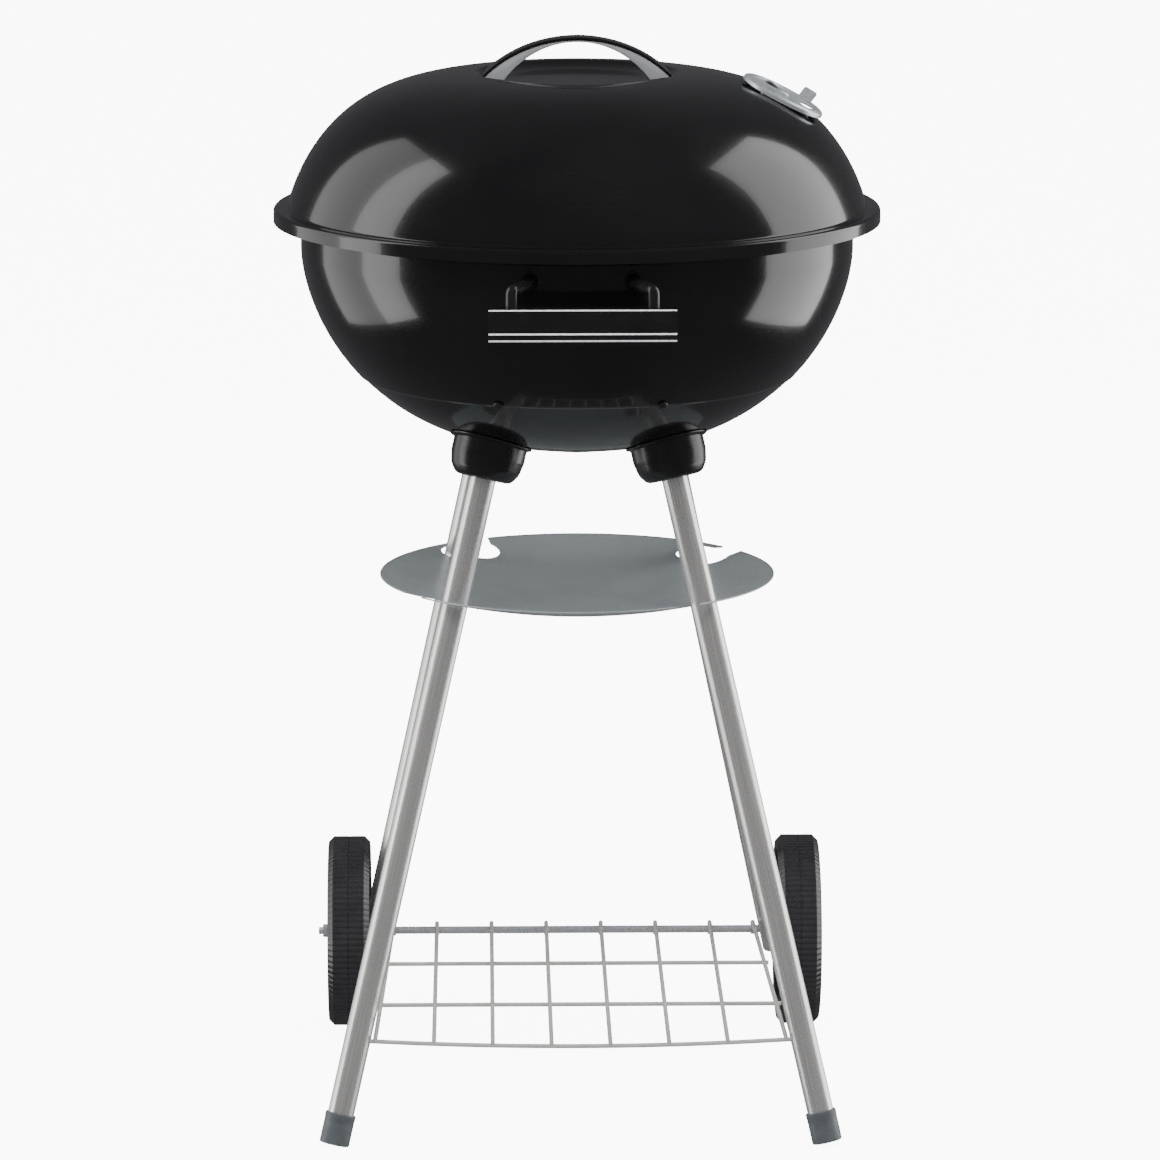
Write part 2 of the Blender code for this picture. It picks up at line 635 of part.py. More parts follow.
# ================================================================ front handle
def make_front_handle():
    top = EQUATOR_Z - FRONT_HANDLE_DROP
    low = top - FRONT_HANDLE_HEIGHT
    face = -(FRONT_HANDLE_FRONT - FRONT_HANDLE_HEM)
    hem = -FRONT_HANDLE_FRONT
    back = face + FRONT_HANDLE_DEPTH
    sheet = FRONT_HANDLE_SHEET
    lip = 0.0045
    outline = [(back, top), (face + 0.0015, top), (face, top - 0.0015), (face, low + lip + FRONT_HANDLE_HEM)]
    outline += [(hem, low + lip), (hem, low + 0.0012), (hem + 0.0012, low), (back, low), (back, low + sheet)]
    outline += [(hem + sheet + 0.0008, low + sheet), (hem + sheet, low + lip - 0.0004)]
    outline += [(face + sheet, low + lip + FRONT_HANDLE_HEM - 0.0008), (face + sheet, top - sheet)]
    outline += [(back, top - sheet)]
    # The outline is in Y and Z; the extrusion is along X.
    place = Matrix(((0, 0, 1, 0), (1, 0, 0, 0), (0, 1, 0, 0), (0, 0, 0, 1)))
    curve = plate_curve("handle", outline, FRONT_HANDLE_LENGTH / 2)
    add_part("front_handle_grip", curve_to_mesh("front_handle_grip", curve), BLACK_PLASTIC, place)

    axis_z = EQUATOR_Z + ARM_RAISE
    root_y = -math.sqrt(BOWL_RADIUS ** 2 - (ARM_ROOT_X + ARM_RADIUS) ** 2)
    wall_y = -math.sqrt(BOWL_RADIUS ** 2 - ARM_ROOT_X ** 2)
    bend_y = (back + face) / 2
    form = bowl_arm_form()
    for side, sign in SIDES.items():
        start_y = root_y + 0.002
        straight_y = wall_y - ARM_STRAIGHT
        run_y = bend_y - straight_y
        run_x = ARM_TIP_X - ARM_ROOT_X
        bend = ARM_RADIUS + 0.001
        path = [(ARM_ROOT_X, start_y, axis_z), (ARM_ROOT_X, straight_y, axis_z)]
        path += [(ARM_ROOT_X + run_x * 0.35, straight_y + run_y * 0.45, axis_z + 0.0006)]
        path += [(ARM_TIP_X - run_x * 0.18, bend_y + bend * 0.75, axis_z)]
        path += [(ARM_TIP_X - run_x * 0.03, bend_y + bend * 0.15, axis_z - bend * 0.45)]
        path += [(ARM_TIP_X, bend_y, axis_z - bend * 1.3), (ARM_TIP_X, bend_y, top + GAP)]
        path = [(sign * x, y, z) for x, y, z in path]
        name = f"front_handle_arm_{side}"
        arm = add_part(name, curve_to_mesh(name, wire_curve(name, [path], ARM_RADIUS)), BLACK_PLASTIC)
        combine(arm, form, "DIFFERENCE")

        # The screw comes from inside the bowl, through its wall and into the arm.
        flat_r = (BOWL_RADIUS - SHEET) * math.cos(math.pi / SHELL_STEPS)
        head_y = -math.sqrt(flat_r ** 2 - (ARM_ROOT_X + ARM_SCREW_HEAD[0]) ** 2) + GAP
        reach = head_y - (wall_y - ARM_SCREW_REACH)
        outwards = along((sign * ARM_ROOT_X, head_y, axis_z), (0.0, 1.0, 0.0))
        drill(arm, name + "_bore", ARM_SCREW_RADIUS + HOLE_PLAY, outwards, -reach - GAP, 0.01, 8)
        bowl = bpy.data.objects["bowl_shell"]
        drill(bowl, name + "_hole", ARM_SCREW_RADIUS + HOLE_PLAY, outwards, -0.01, 0.01, 8)
        points = headed_profile(ARM_SCREW_HEAD, ARM_SCREW_RADIUS, reach)
        screw = f"front_handle_screw_{side}"
        turn(add_part(screw, profile_mesh(screw, points), ZINC, outwards), 8)


def bowl_arm_form():
    """Solid a gap outside the bowl's wall, for cutting the ends of the arms."""
    radius = BOWL_RADIUS + GAP
    high = RIM_Z - 0.01
    low = EQUATOR_Z - 0.005
    points = [(0.0, high), (radius, high), (radius, low), (0.0, low)]
    return turn(add_cutter("bowl_arm_form", profile_mesh("bowl_arm_form", points)), SHELL_STEPS)


# ================================================================ legs
def leg_foot(side, end):
    """Lowest point on a leg's axis: the ground in front, below the axle behind."""
    if end == "front":
        return Vector((SIDES[side] * FRONT_FOOT_X, -FRONT_FOOT_Y, 0.0))
    top = leg_top(side, end)
    axle = Vector((SIDES[side] * REAR_LEG_AXLE_X, AXLE_Y, AXLE_Z))
    run = axle - top
    return axle + run * (REAR_LEG_TAIL / -run.z)


def leg_top(side, end):
    return Vector((SIDES[side] * LEG_TOP_X, ENDS[end] * LEG_TOP_Y, LEG_TOP_Z))


def leg_at(side, end, height):
    """Point on a leg's axis at a height."""
    top = leg_top(side, end)
    run = leg_foot(side, end) - top
    return top + run * ((height - top.z) / run.z)


def leg_frame(side, end):
    """Matrix at the point where a leg's axis meets the bowl's outside, its Z up along the leg."""
    upwards = (leg_top(side, end) - leg_foot(side, end)).normalized()
    low, high = 0.0, 0.08
    for _ in range(40):
        middle = (low + high) / 2
        spot = leg_top(side, end) + upwards * middle
        inside = spot.z > bowl_z(math.hypot(spot.x, spot.y) + BOWL_STEP)
        low, high = (low, middle) if inside else (middle, high)
    return along(leg_top(side, end) + upwards * low, upwards), upwards


def make_legs():
    bowl = bpy.data.objects["bowl_shell"]
    gap_form = bowl_form("bowl_gap_form", GAP)
    flange_form = bowl_form("bowl_flange_form", GAP + SOCKET_FLANGE_SHEET)
    for end in ENDS:
        for side in SIDES:
            corner = f"{end}_{side}"
            frame, upwards = leg_frame(side, end)
            contact = frame.translation
            bottom = -SOCKET_LENGTH

            # Socket: a cup closed by the bowl, with a thin flange that follows the bowl.
            name = f"leg_socket_{corner}"
            flange = add_part(name, rod_mesh(name, SOCKET_FLANGE, -0.025, 0.03, 20), BLACK_PLASTIC, frame)
            combine(flange, flange_form, "INTERSECT")
            cup_points = [(0.0, 0.03), (SOCKET_RADIUS, 0.03), (SOCKET_RADIUS, bottom + 0.0180)]
            cup_points += [(SOCKET_RADIUS - 0.0022, bottom + 0.0080)]
            cup_points += [(SOCKET_END_RADIUS + 0.0040, bottom + 0.0015)]
            cup_points += [(SOCKET_END_RADIUS, bottom), (0.0, bottom)]
            cup = turn(add_cutter(name + "_cup", profile_mesh(name + "_cup", cup_points), frame), 20)
            combine(flange, cup, "UNION")
            combine(flange, gap_form, "DIFFERENCE")
            leg_end = bottom + SOCKET_GRIP
            drill(flange, name + "_bore", LEG_RADIUS + GAP, frame, bottom - 0.01, leg_end + GAP, LEG_SIDES)
            drill(flange, name + "_bolt_hole", LEG_BOLT_RADIUS + HOLE_PLAY, frame, bottom, 0.03, 8)
            drill(bowl, f"bowl_{corner}_bolt_hole", LEG_BOLT_RADIUS + HOLE_PLAY, frame, -0.02, 0.02, 8)

            # Tube, closed at the top but for the bolt's thread.
            foot = leg_foot(side, end)
            if end == "front":
                foot = foot + upwards * foot_cap_raise(upwards)
            length = (contact - foot).dot(upwards) + leg_end
            base = along(foot, upwards)
            tube = rod_mesh(f"leg_{corner}", LEG_RADIUS, 0.0, length, LEG_SIDES)
            leg = add_part(f"leg_{corner}", tube, STEEL_TUBE, base)
            bore = LEG_RADIUS - LEG_WALL
            drill(leg, f"leg_{corner}_bore", bore, base, -0.01, length - LEG_CAP_WALL, LEG_SIDES)
            thread = LEG_BOLT_RADIUS + HOLE_PLAY
            drill(leg, f"leg_{corner}_thread", thread, base, length - 0.01, length + 0.01, 8)

            # Bolt from inside the bowl, its head square to the leg and clear of the bowl's curve.
            inwards = Vector((-contact.x, -contact.y, 0.0)).normalized()
            lean = upwards.angle(inwards * BOWL_FOOT_SLOPE + Vector((0.0, 0.0, 1.0)))
            head_low = SHEET + LEG_BOLT_HEAD[0] * math.tan(lean) + LEG_BOLT_SPACE
            reach = head_low - leg_end + LEG_CAP_WALL + 0.004
            points = headed_profile(LEG_BOLT_HEAD, LEG_BOLT_RADIUS, reach)
            name = f"leg_bolt_{corner}"
            place = frame @ Matrix.Translation((0.0, 0.0, head_low))
            turn(add_part(name, profile_mesh(name, points), ZINC, place), 8)
            if end == "front":
                make_foot_cap(side, foot, upwards)


def foot_cap_raise(upwards):
    """Distance along a front leg from the ground to the tube's end, over the cap's floor and worn corner."""
    lean = math.acos(upwards.z)
    cap_radius = LEG_RADIUS + GAP + FOOT_CAP_WALL
    low_corner = cap_radius * math.sin(lean) - FOOT_FLAT
    return low_corner / math.cos(lean) + FOOT_CAP_FLOOR + GAP


def make_foot_cap(side, tube_end, upwards):
    """Plastic cup over the end of a front leg, square to the leg, its low corner flat on the ground."""
    name = f"foot_cap_{side}"
    cap_radius = LEG_RADIUS + GAP + FOOT_CAP_WALL
    floor = -GAP - FOOT_CAP_FLOOR
    points = [(cap_radius - 0.0004, floor + FOOT_CAP_LENGTH), (cap_radius, floor + FOOT_CAP_LENGTH - 0.0006)]
    points += [(cap_radius, floor), (0.0, floor), (0.0, -GAP), (LEG_RADIUS + GAP, -GAP)]
    points += [(LEG_RADIUS + GAP, floor + FOOT_CAP_LENGTH)]
    place = along(tube_end, upwards)
    cap = add_part(name, profile_mesh(name, points, closed=True), CAP_PLASTIC, place)
    turn(cap, LEG_SIDES)
    spot = leg_foot(side, "front")
    ground = box_mesh(name + "_ground", (-0.05, -0.05, -0.05), (0.05, 0.05, 0.0))
    combine(cap, add_cutter(name + "_ground", ground, Matrix.Translation(spot)), "DIFFERENCE")


# ================================================================ wheels and axle
def make_wheels():
    half = WHEEL_WIDTH / 2
    inner = WHEEL_RADIUS - WHEEL_TREAD
    bore = AXLE_RADIUS + AXLE_PLAY
    shoulder = WHEEL_SHOULDER
    points = [(HUB_RADIUS, HUB_OUTER), (HUB_RADIUS, WEB_OUTER), (inner, WEB_OUTER), (inner, half)]
    points += [(WHEEL_RADIUS - shoulder, half), (WHEEL_RADIUS, half - shoulder)]
    points += [(WHEEL_RADIUS, -half + shoulder), (WHEEL_RADIUS - shoulder, -half)]
    points += [(inner, -half), (inner, WEB_INNER), (HUB_RADIUS, WEB_INNER), (HUB_RADIUS, HUB_INNER)]
    points += [(bore, HUB_INNER), (bore, HUB_OUTER)]
    mesh = profile_mesh("wheel", points, closed=True)
    for side, sign in SIDES.items():
        outwards = Vector((sign, 0.0, 0.0))
        place = along((sign * WHEEL_X, AXLE_Y, AXLE_Z), outwards)
        wheel = add_part(f"wheel_{side}", mesh.copy(), BLACK_PLASTIC, place)
        turn(wheel, WHEEL_STEPS)

        face = WHEEL_X + HUB_INNER - 2 * GAP
        ring = [(WASHER_RADIUS, 0.0), (WASHER_RADIUS, -WASHER_THICK)]
        ring += [(AXLE_RADIUS + AXLE_PLAY, -WASHER_THICK), (AXLE_RADIUS + AXLE_PLAY, 0.0)]
        name = f"axle_washer_{side}"
        spot = along((sign * face, AXLE_Y, AXLE_Z), outwards)
        turn(add_part(name, profile_mesh(name, ring, closed=True), ZINC, spot), 16)

        leg = bpy.data.objects[f"leg_rear_{side}"]
        across = along((sign * REAR_LEG_AXLE_X, AXLE_Y, AXLE_Z), outwards)
        drill(leg, f"leg_{side}_axle_hole", AXLE_RADIUS + AXLE_PLAY, across, -0.03, 0.03, 12)


def make_axle():
    face = WHEEL_X + HUB_OUTER + 2 * GAP
    nut_end = face + NUT_THICK
    tip = nut_end + AXLE_TIP
    points = headed_profile(AXLE_HEAD, AXLE_RADIUS, face + tip)
    place = along((face, AXLE_Y, AXLE_Z), (1.0, 0.0, 0.0))
    turn(add_part("axle", profile_mesh("axle", points), ZINC, place), 16)

    name = "axle_nut"
    corner = NUT_FLATS / math.sqrt(3)
    spot = along((-face, AXLE_Y, AXLE_Z), (-1.0, 0.0, 0.0))
    nut = add_part(name, rod_mesh(name, corner, 0.0, NUT_THICK, 6), ZINC, spot)
    drill(nut, "nut_thread", AXLE_RADIUS + HOLE_PLAY, spot, -0.01, NUT_THICK + 0.01, 16)


# ================================================================ wire shelf
def make_shelf():
    level = AXLE_Z + AXLE_RADIUS + GAP + SHELF_WIRE
    under = level - 2 * SHELF_WIRE + WELD
    hook_y = AXLE_Y + AXLE_RADIUS + GAP + SHELF_WIRE
    front = leg_at("right", "front", under)
    bow_depth = SHELF_BOW
    outer_front_x = front.x - LEG_RADIUS - SHELF_LEG_SPACE

    def front_y(x):
        """The front wire is a parabola between the two front legs."""
        return front.y - bow_depth * (1.0 - (x / front.x) ** 2)

    long_paths = []
    for index in range(SHELF_LONG_WIRES):
        step = index - (SHELF_LONG_WIRES - 1) / 2
        rear_x = max(min(step * SHELF_PITCH, SHELF_OUTER_REAR_X), -SHELF_OUTER_REAR_X)
        fore_x = max(min(step * SHELF_PITCH * 1.005, outer_front_x), -outer_front_x)
        fore_y = front_y(fore_x) - SHELF_WIRE
        path = [(fore_x, fore_y, level), (rear_x, hook_y - 0.003, level), (rear_x, hook_y, level - 0.003)]
        path += [(rear_x, hook_y, level - SHELF_HOOK)]
        long_paths.append(path)
    shelf_mesh = curve_to_mesh("wire_shelf", wire_curve("long_wires", long_paths, SHELF_WIRE))
    shelf = add_part("wire_shelf", shelf_mesh, WIRE_PLATE)

    cross_paths = []
    for y in SHELF_CROSS_Y:
        share = (hook_y - y) / (hook_y - front.y)
        reach = SHELF_OUTER_REAR_X + (outer_front_x - SHELF_OUTER_REAR_X) * share + 0.004
        cross_paths.append([(-reach, y, under), (reach, y, under)])
    tip = front.x - LEG_RADIUS + LEG_WALL + 0.003
    steps = 12
    spread = [tip * (2 * index / steps - 1) for index in range(steps + 1)]
    cross_paths.append([(x, front_y(x), under) for x in spread])
    end_slope = (front_y(tip) - front_y(spread[-2])) / (tip - spread[-2])
    cross = curve_to_mesh("cross_wires", wire_curve("cross_wires", cross_paths, SHELF_WIRE))
    combine(shelf, add_cutter("cross_wires", cross), "UNION")

    for side, sign in SIDES.items():
        leg = bpy.data.objects[f"leg_front_{side}"]
        place = along((sign * tip, front_y(tip), under), (-sign, -end_slope, 0.0))
        drill(leg, f"leg_{side}_shelf_hole", SHELF_WIRE + SHELF_HOLE_PLAY, place, -0.004, 0.02, 12)


# ================================================================ ash catcher
def make_ash_catcher():
    depth = ASH_DEPTH
    points = [(ASH_RADIUS, ASH_RIM_Z)]
    for share in (0.93, 0.84, 0.72, 0.55, 0.32):
        radius = ASH_RADIUS * share
        points.append((radius, ASH_RIM_Z - depth * (1.0 - share ** 2)))
    points.append((0.0, ASH_RIM_Z - depth))
    # The profile is the dish's outside, so the sheet lies above it.
    dish = add_part("ash_catcher", profile_mesh("ash_catcher", points), GREY_PAINT)
    thicken(turn(dish, SHELL_STEPS), ASH_SHEET)

    half_slot = LEG_RADIUS + ASH_SLOT_PLAY
    for end in ENDS:
        for side in SIDES:
            spot = leg_at(side, end, ash_z(math.hypot(LEG_TOP_X, LEG_TOP_Y) + 0.03))
            ring = math.hypot(spot.x, spot.y)
            spot = leg_at(side, end, ash_z(ring))
            ring = math.hypot(spot.x, spot.y)
            heading = math.degrees(math.atan2(spot.y, spot.x))
            name = f"ash_slot_{end}_{side}"
            outline = slot_outline(ring, half_slot, heading - ASH_TWIST, heading + 0.5)
            slot = curve_to_mesh(name, plate_curve(name, outline, 0.03))
            level = Matrix.Translation((0.0, 0.0, ASH_RIM_Z))
            combine(dish, add_cutter(name, slot, level), "DIFFERENCE")
            turned = Matrix.Rotation(math.radians(heading - ASH_TWIST), 4, "Z")
            key = level @ turned @ Matrix.Translation((ring - 0.001, 0.0, 0.0))
            drill(dish, name + "_key", ASH_KEY_RADIUS - 0.0012, key, -0.03, 0.03, 20)
            outline = mouth_outline(ring, heading - ASH_MOUTH[1], heading - ASH_MOUTH[0])
            mouth = curve_to_mesh(name + "_mouth", plate_curve(name + "_mouth", outline, 0.031))
            combine(dish, add_cutter(name + "_mouth", mouth, level), "DIFFERENCE")
    return dish


def ash_z(radius):
    """Height of the ash catcher's sheet at a distance from its middle."""
    return ASH_RIM_Z - ASH_DEPTH * (1.0 - (radius / ASH_RADIUS) ** 2)


def slot_outline(ring, half_width, start, end):
    """Curved slot with round ends, on a ring, between two headings in degrees."""
    steps = 5

    def polar(angle, radius):
        return (radius * math.cos(math.radians(angle)), radius * math.sin(math.radians(angle)))

    outer = [polar(start + (end - start) * index / steps, ring + half_width) for index in range(steps + 1)]
    inner = [polar(end + (start - end) * index / steps, ring - half_width) for index in range(steps + 1)]
    far = arc(polar(end, ring), half_width, end, end + 180.0, 6)[1:-1]
    near = arc(polar(start, ring), half_width, start + 180.0, start + 360.0, 6)[1:-1]
    return outer + far + inner + near


def mouth_outline(ring, start, end):
    """Opening from a keyhole out past the rim."""
    middle = (start + end) / 2

    def polar(angle, radius):
        return (radius * math.cos(math.radians(angle)), radius * math.sin(math.radians(angle)))

    beyond = ASH_RADIUS + 0.01
    return [polar(start, beyond), polar(end, beyond), polar(middle + 3.5, ring), polar(middle - 2.5, ring)]


# ================================================================ grates
def make_grate(name, radius, wire, bar, pitch, bars, level, look):
    """Ring with parallel bars on top of it and two stays under them, all welded."""
    ring = bpy.data.meshes.new(name)
    form = bmesh.new()
    section = bmesh.ops.create_circle(form, segments=6, radius=wire)["verts"]
    bmesh.ops.rotate(form, verts=section, cent=(0, 0, 0), matrix=Matrix.Rotation(math.pi / 2, 3, "X"))
    bmesh.ops.translate(form, verts=section, vec=(radius, 0.0, 0.0))
    outline = form.verts[:] + form.edges[:]
    bmesh.ops.spin(form, geom=outline, cent=(0, 0, 0), axis=(0, 0, 1), angle=2 * math.pi,
                   steps=SHELL_STEPS, use_merge=True)
    bmesh.ops.remove_doubles(form, verts=form.verts, dist=0.00001)
    bmesh.ops.recalc_face_normals(form, faces=form.faces)
    # A third of a step round, no facet of the ring lines up with a bar.
    part_step = Matrix.Rotation(math.tau / SHELL_STEPS / 3, 3, "Z")
    bmesh.ops.rotate(form, verts=form.verts, cent=(0, 0, 0), matrix=part_step)
    form.to_mesh(ring)
    form.free()
    ring.shade_smooth()
    grate = add_part(name, ring, look, Matrix.Translation((0.0, 0.0, level)))

    raised = wire + bar - GRATE_WELD
    bar_paths = []
    for index in range(bars):
        x = pitch * (index - (bars - 1) / 2)
        reach = math.sqrt(radius ** 2 - x ** 2)
        bar_paths.append([(x, -reach, raised), (x, reach, raised)])
    bar_mesh = curve_to_mesh(name + "_bars", wire_curve(name + "_bars", bar_paths, bar, 0))
    place = Matrix.Translation((0.0, 0.0, level))
    combine(grate, add_cutter(name + "_bars", bar_mesh, place), "UNION")

    stay_y = radius * STAY_SHARE
    reach = math.sqrt(radius ** 2 - stay_y ** 2)
    low = raised - 2 * bar + GRATE_WELD
    stays = [[(-reach, sign * stay_y, low), (reach, sign * stay_y, low)] for sign in (-1, 1)]
    stay_mesh = curve_to_mesh(name + "_stays", wire_curve(name + "_stays", stays, bar, 0))
    combine(grate, add_cutter(name + "_stays", stay_mesh, place), "UNION")
    return grate


def make_tab(name, heading, contact_r, ledge_z, reach, look):
    """Folded tab on the bowl's inside: a leg down the wall and a ledge under a grate's ring."""
    turned = Matrix.Rotation(heading, 4, "Z")
    ledge = box_mesh(name, (contact_r - reach, -TAB_WIDTH / 2, ledge_z - TAB_SHEET),
                     (contact_r + 0.03, TAB_WIDTH / 2, ledge_z))
    tab = add_part(name, ledge, look, turned)
    return tab, turned


def make_grates():
    bowl = bpy.data.objects["bowl_shell"]
    cook_level = EQUATOR_Z + COOK_RAISE
    coal_level = EQUATOR_Z - COAL_DROP
    make_grate("cooking_grate", COOK_RADIUS, COOK_WIRE, COOK_BAR, COOK_PITCH, COOK_BARS, cook_level, CHROME)
    make_grate("charcoal_grate", COAL_RADIUS, COAL_WIRE, COAL_BAR, COAL_PITCH, COAL_BARS, coal_level, ZINC)
    cavity = bowl_cavity("bowl_cavity_form", GAP)

    # Upper tabs, spot-welded to the straight wall.
    ledge_z = cook_level - COOK_WIRE - GAP
    for index in range(4):
        heading = math.radians(45 + 90 * index)
        name = f"cooking_grate_tab_{index + 1}"
        tab, turned = make_tab(name, heading, BOWL_RADIUS, ledge_z, TAB_REACH, ZINC)
        back = box_mesh(name + "_back", (BOWL_RADIUS - 0.0052, -TAB_WIDTH / 2, ledge_z - TAB_HEIGHT),
                        (BOWL_RADIUS + 0.02, TAB_WIDTH / 2, ledge_z))
        combine(tab, add_cutter(name + "_back", back, turned), "UNION")
        combine(tab, cavity, "INTERSECT")

    # Lower brackets, each bolted through the bowl's side.
    ledge_z = coal_level - COAL_WIRE - GAP
    bolt_z = EQUATOR_Z - COAL_BOLT_DROP
    wall = bowl_r(bolt_z)
    half_step = 0.002
    slope = (bowl_r(bolt_z + half_step) - bowl_r(bolt_z - half_step)) / (2 * half_step)
    for end, end_sign in ENDS.items():
        for side, side_sign in SIDES.items():
            heading = math.atan2(end_sign * math.sqrt(wall ** 2 - COAL_BOLT_X ** 2), side_sign * COAL_BOLT_X)
            name = f"charcoal_grate_bracket_{end}_{side}"
            tab, turned = make_tab(name, heading, wall, ledge_z, COAL_TAB_REACH, ZINC)
            lean = math.atan(slope)
            skin = turned @ Matrix.Translation((wall, 0.0, bolt_z)) @ Matrix.Rotation(lean, 4, "Y")
            drop = (ledge_z - bolt_z) / math.cos(lean)
            back = box_mesh(name + "_back", (-SHEET - TAB_SHEET - 0.0016, -TAB_WIDTH / 2, -0.010),
                            (0.02, TAB_WIDTH / 2, drop - 0.0005))
            combine(tab, add_cutter(name + "_back", back, skin), "UNION")
            combine(tab, cavity, "INTERSECT")
            head = skin @ Matrix.Rotation(math.pi / 2, 4, "Y") @ Matrix.Translation((0.0, 0.0, 2 * GAP))
            grip = SHEET + TAB_SHEET + 4 * GAP + 0.0040
            radius = COAL_BOLT_RADIUS + HOLE_PLAY
            drill(tab, name + "_hole", radius, head, -0.02, 0.01, 8)
            drill(bowl, name + "_bowl_hole", radius, head, -0.02, 0.01, 8)
            bolt = f"charcoal_bracket_bolt_{end}_{side}"
            points = headed_profile(COAL_BOLT_HEAD, COAL_BOLT_RADIUS, grip)
            turn(add_part(bolt, profile_mesh(bolt, points), ZINC, head), 8)


# ================================================================ assembly
def group(name, location, children):
    """Empty on the axis that a group of pieces moves on."""
    empty = bpy.data.objects.new(name, None)
    PARTS.objects.link(empty)
    empty.location = location
    bpy.context.view_layer.update()
    for child in children:
        piece = bpy.data.objects[child]
        place = piece.matrix_world.copy()
        piece.parent = empty
        piece.matrix_world = place
    return empty


make_bowl()
make_lid()
make_lid_handle()
make_dampers()
make_front_handle()
make_legs()
make_wheels()
make_axle()
make_shelf()
make_ash_catcher()
make_grates()

LID_PIECES = ["lid_shell", "lid_handle_grip", "lid_handle_bracket", "lid_damper", "lid_damper_rivet"]
LID_PIECES += [f"lid_handle_bolt_{side}" for side in SIDES]
group("lid_axis", (0.0, 0.0, LEDGE_Z), LID_PIECES)
bpy.context.view_layer.update()
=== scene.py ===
"""Kettle charcoal grill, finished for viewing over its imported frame.

Lengths are in metres. The origin is on the ground under the middle of the kettle, +Z is up, the
front handle faces -Y and the wheels are at +Y.
"""

import json
import logging
import math
from dataclasses import dataclass
from enum import Enum

import bmesh
import bpy
import numpy as np
from mathutils import Matrix, Vector

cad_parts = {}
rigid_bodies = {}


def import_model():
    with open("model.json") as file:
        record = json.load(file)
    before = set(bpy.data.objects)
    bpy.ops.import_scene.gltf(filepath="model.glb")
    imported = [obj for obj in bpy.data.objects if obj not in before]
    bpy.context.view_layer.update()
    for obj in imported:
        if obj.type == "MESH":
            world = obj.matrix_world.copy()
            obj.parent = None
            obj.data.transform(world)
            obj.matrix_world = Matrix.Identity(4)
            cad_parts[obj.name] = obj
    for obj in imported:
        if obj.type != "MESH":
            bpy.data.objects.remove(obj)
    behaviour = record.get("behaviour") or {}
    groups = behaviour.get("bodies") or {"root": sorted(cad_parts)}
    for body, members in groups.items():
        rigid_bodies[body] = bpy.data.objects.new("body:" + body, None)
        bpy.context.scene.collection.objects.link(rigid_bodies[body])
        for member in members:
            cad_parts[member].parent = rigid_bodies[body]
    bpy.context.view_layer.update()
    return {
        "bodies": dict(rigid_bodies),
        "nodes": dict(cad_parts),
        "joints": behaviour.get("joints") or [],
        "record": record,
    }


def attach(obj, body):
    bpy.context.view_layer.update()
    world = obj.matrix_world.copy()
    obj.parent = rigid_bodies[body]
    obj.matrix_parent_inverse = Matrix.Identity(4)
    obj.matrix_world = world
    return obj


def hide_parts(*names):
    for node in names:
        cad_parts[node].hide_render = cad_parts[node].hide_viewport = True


LOG = logging.getLogger("kettle_grill")
GAP = 0.0003
VENT_HOLE = 0.0073
VENT_CIRCLE = 0.0206
LID_VENT_DISTANCE = 0.1635
LID_VENT_TURN = -5.0
RIVET_HOLE = 0.0023
TAB_ROUND = 0.002
TAB_NARROWING = 0.003


class Side(Enum):
    """Left or right of someone who stands in front, as the sign of X."""

    LEFT = -1.0
    RIGHT = 1.0


class End(Enum):
    """Front or rear of the grill, as the sign of Y."""

    FRONT = -1.0
    REAR = 1.0


class Body(str, Enum):
    """The rigid bodies of the frame."""

    STAND = "stand"
    LID = "lid"
    LID_VENT = "lid_vent_disc"
    BOTTOM_VENT = "bottom_vent_disc"
    COOKING_GRATE = "cooking_grate"
    CHARCOAL_GRATE = "charcoal_grate"
    ASH_CATCHER = "ash_catcher"
    WHEEL_LEFT = "wheel_left"
    WHEEL_RIGHT = "wheel_right"


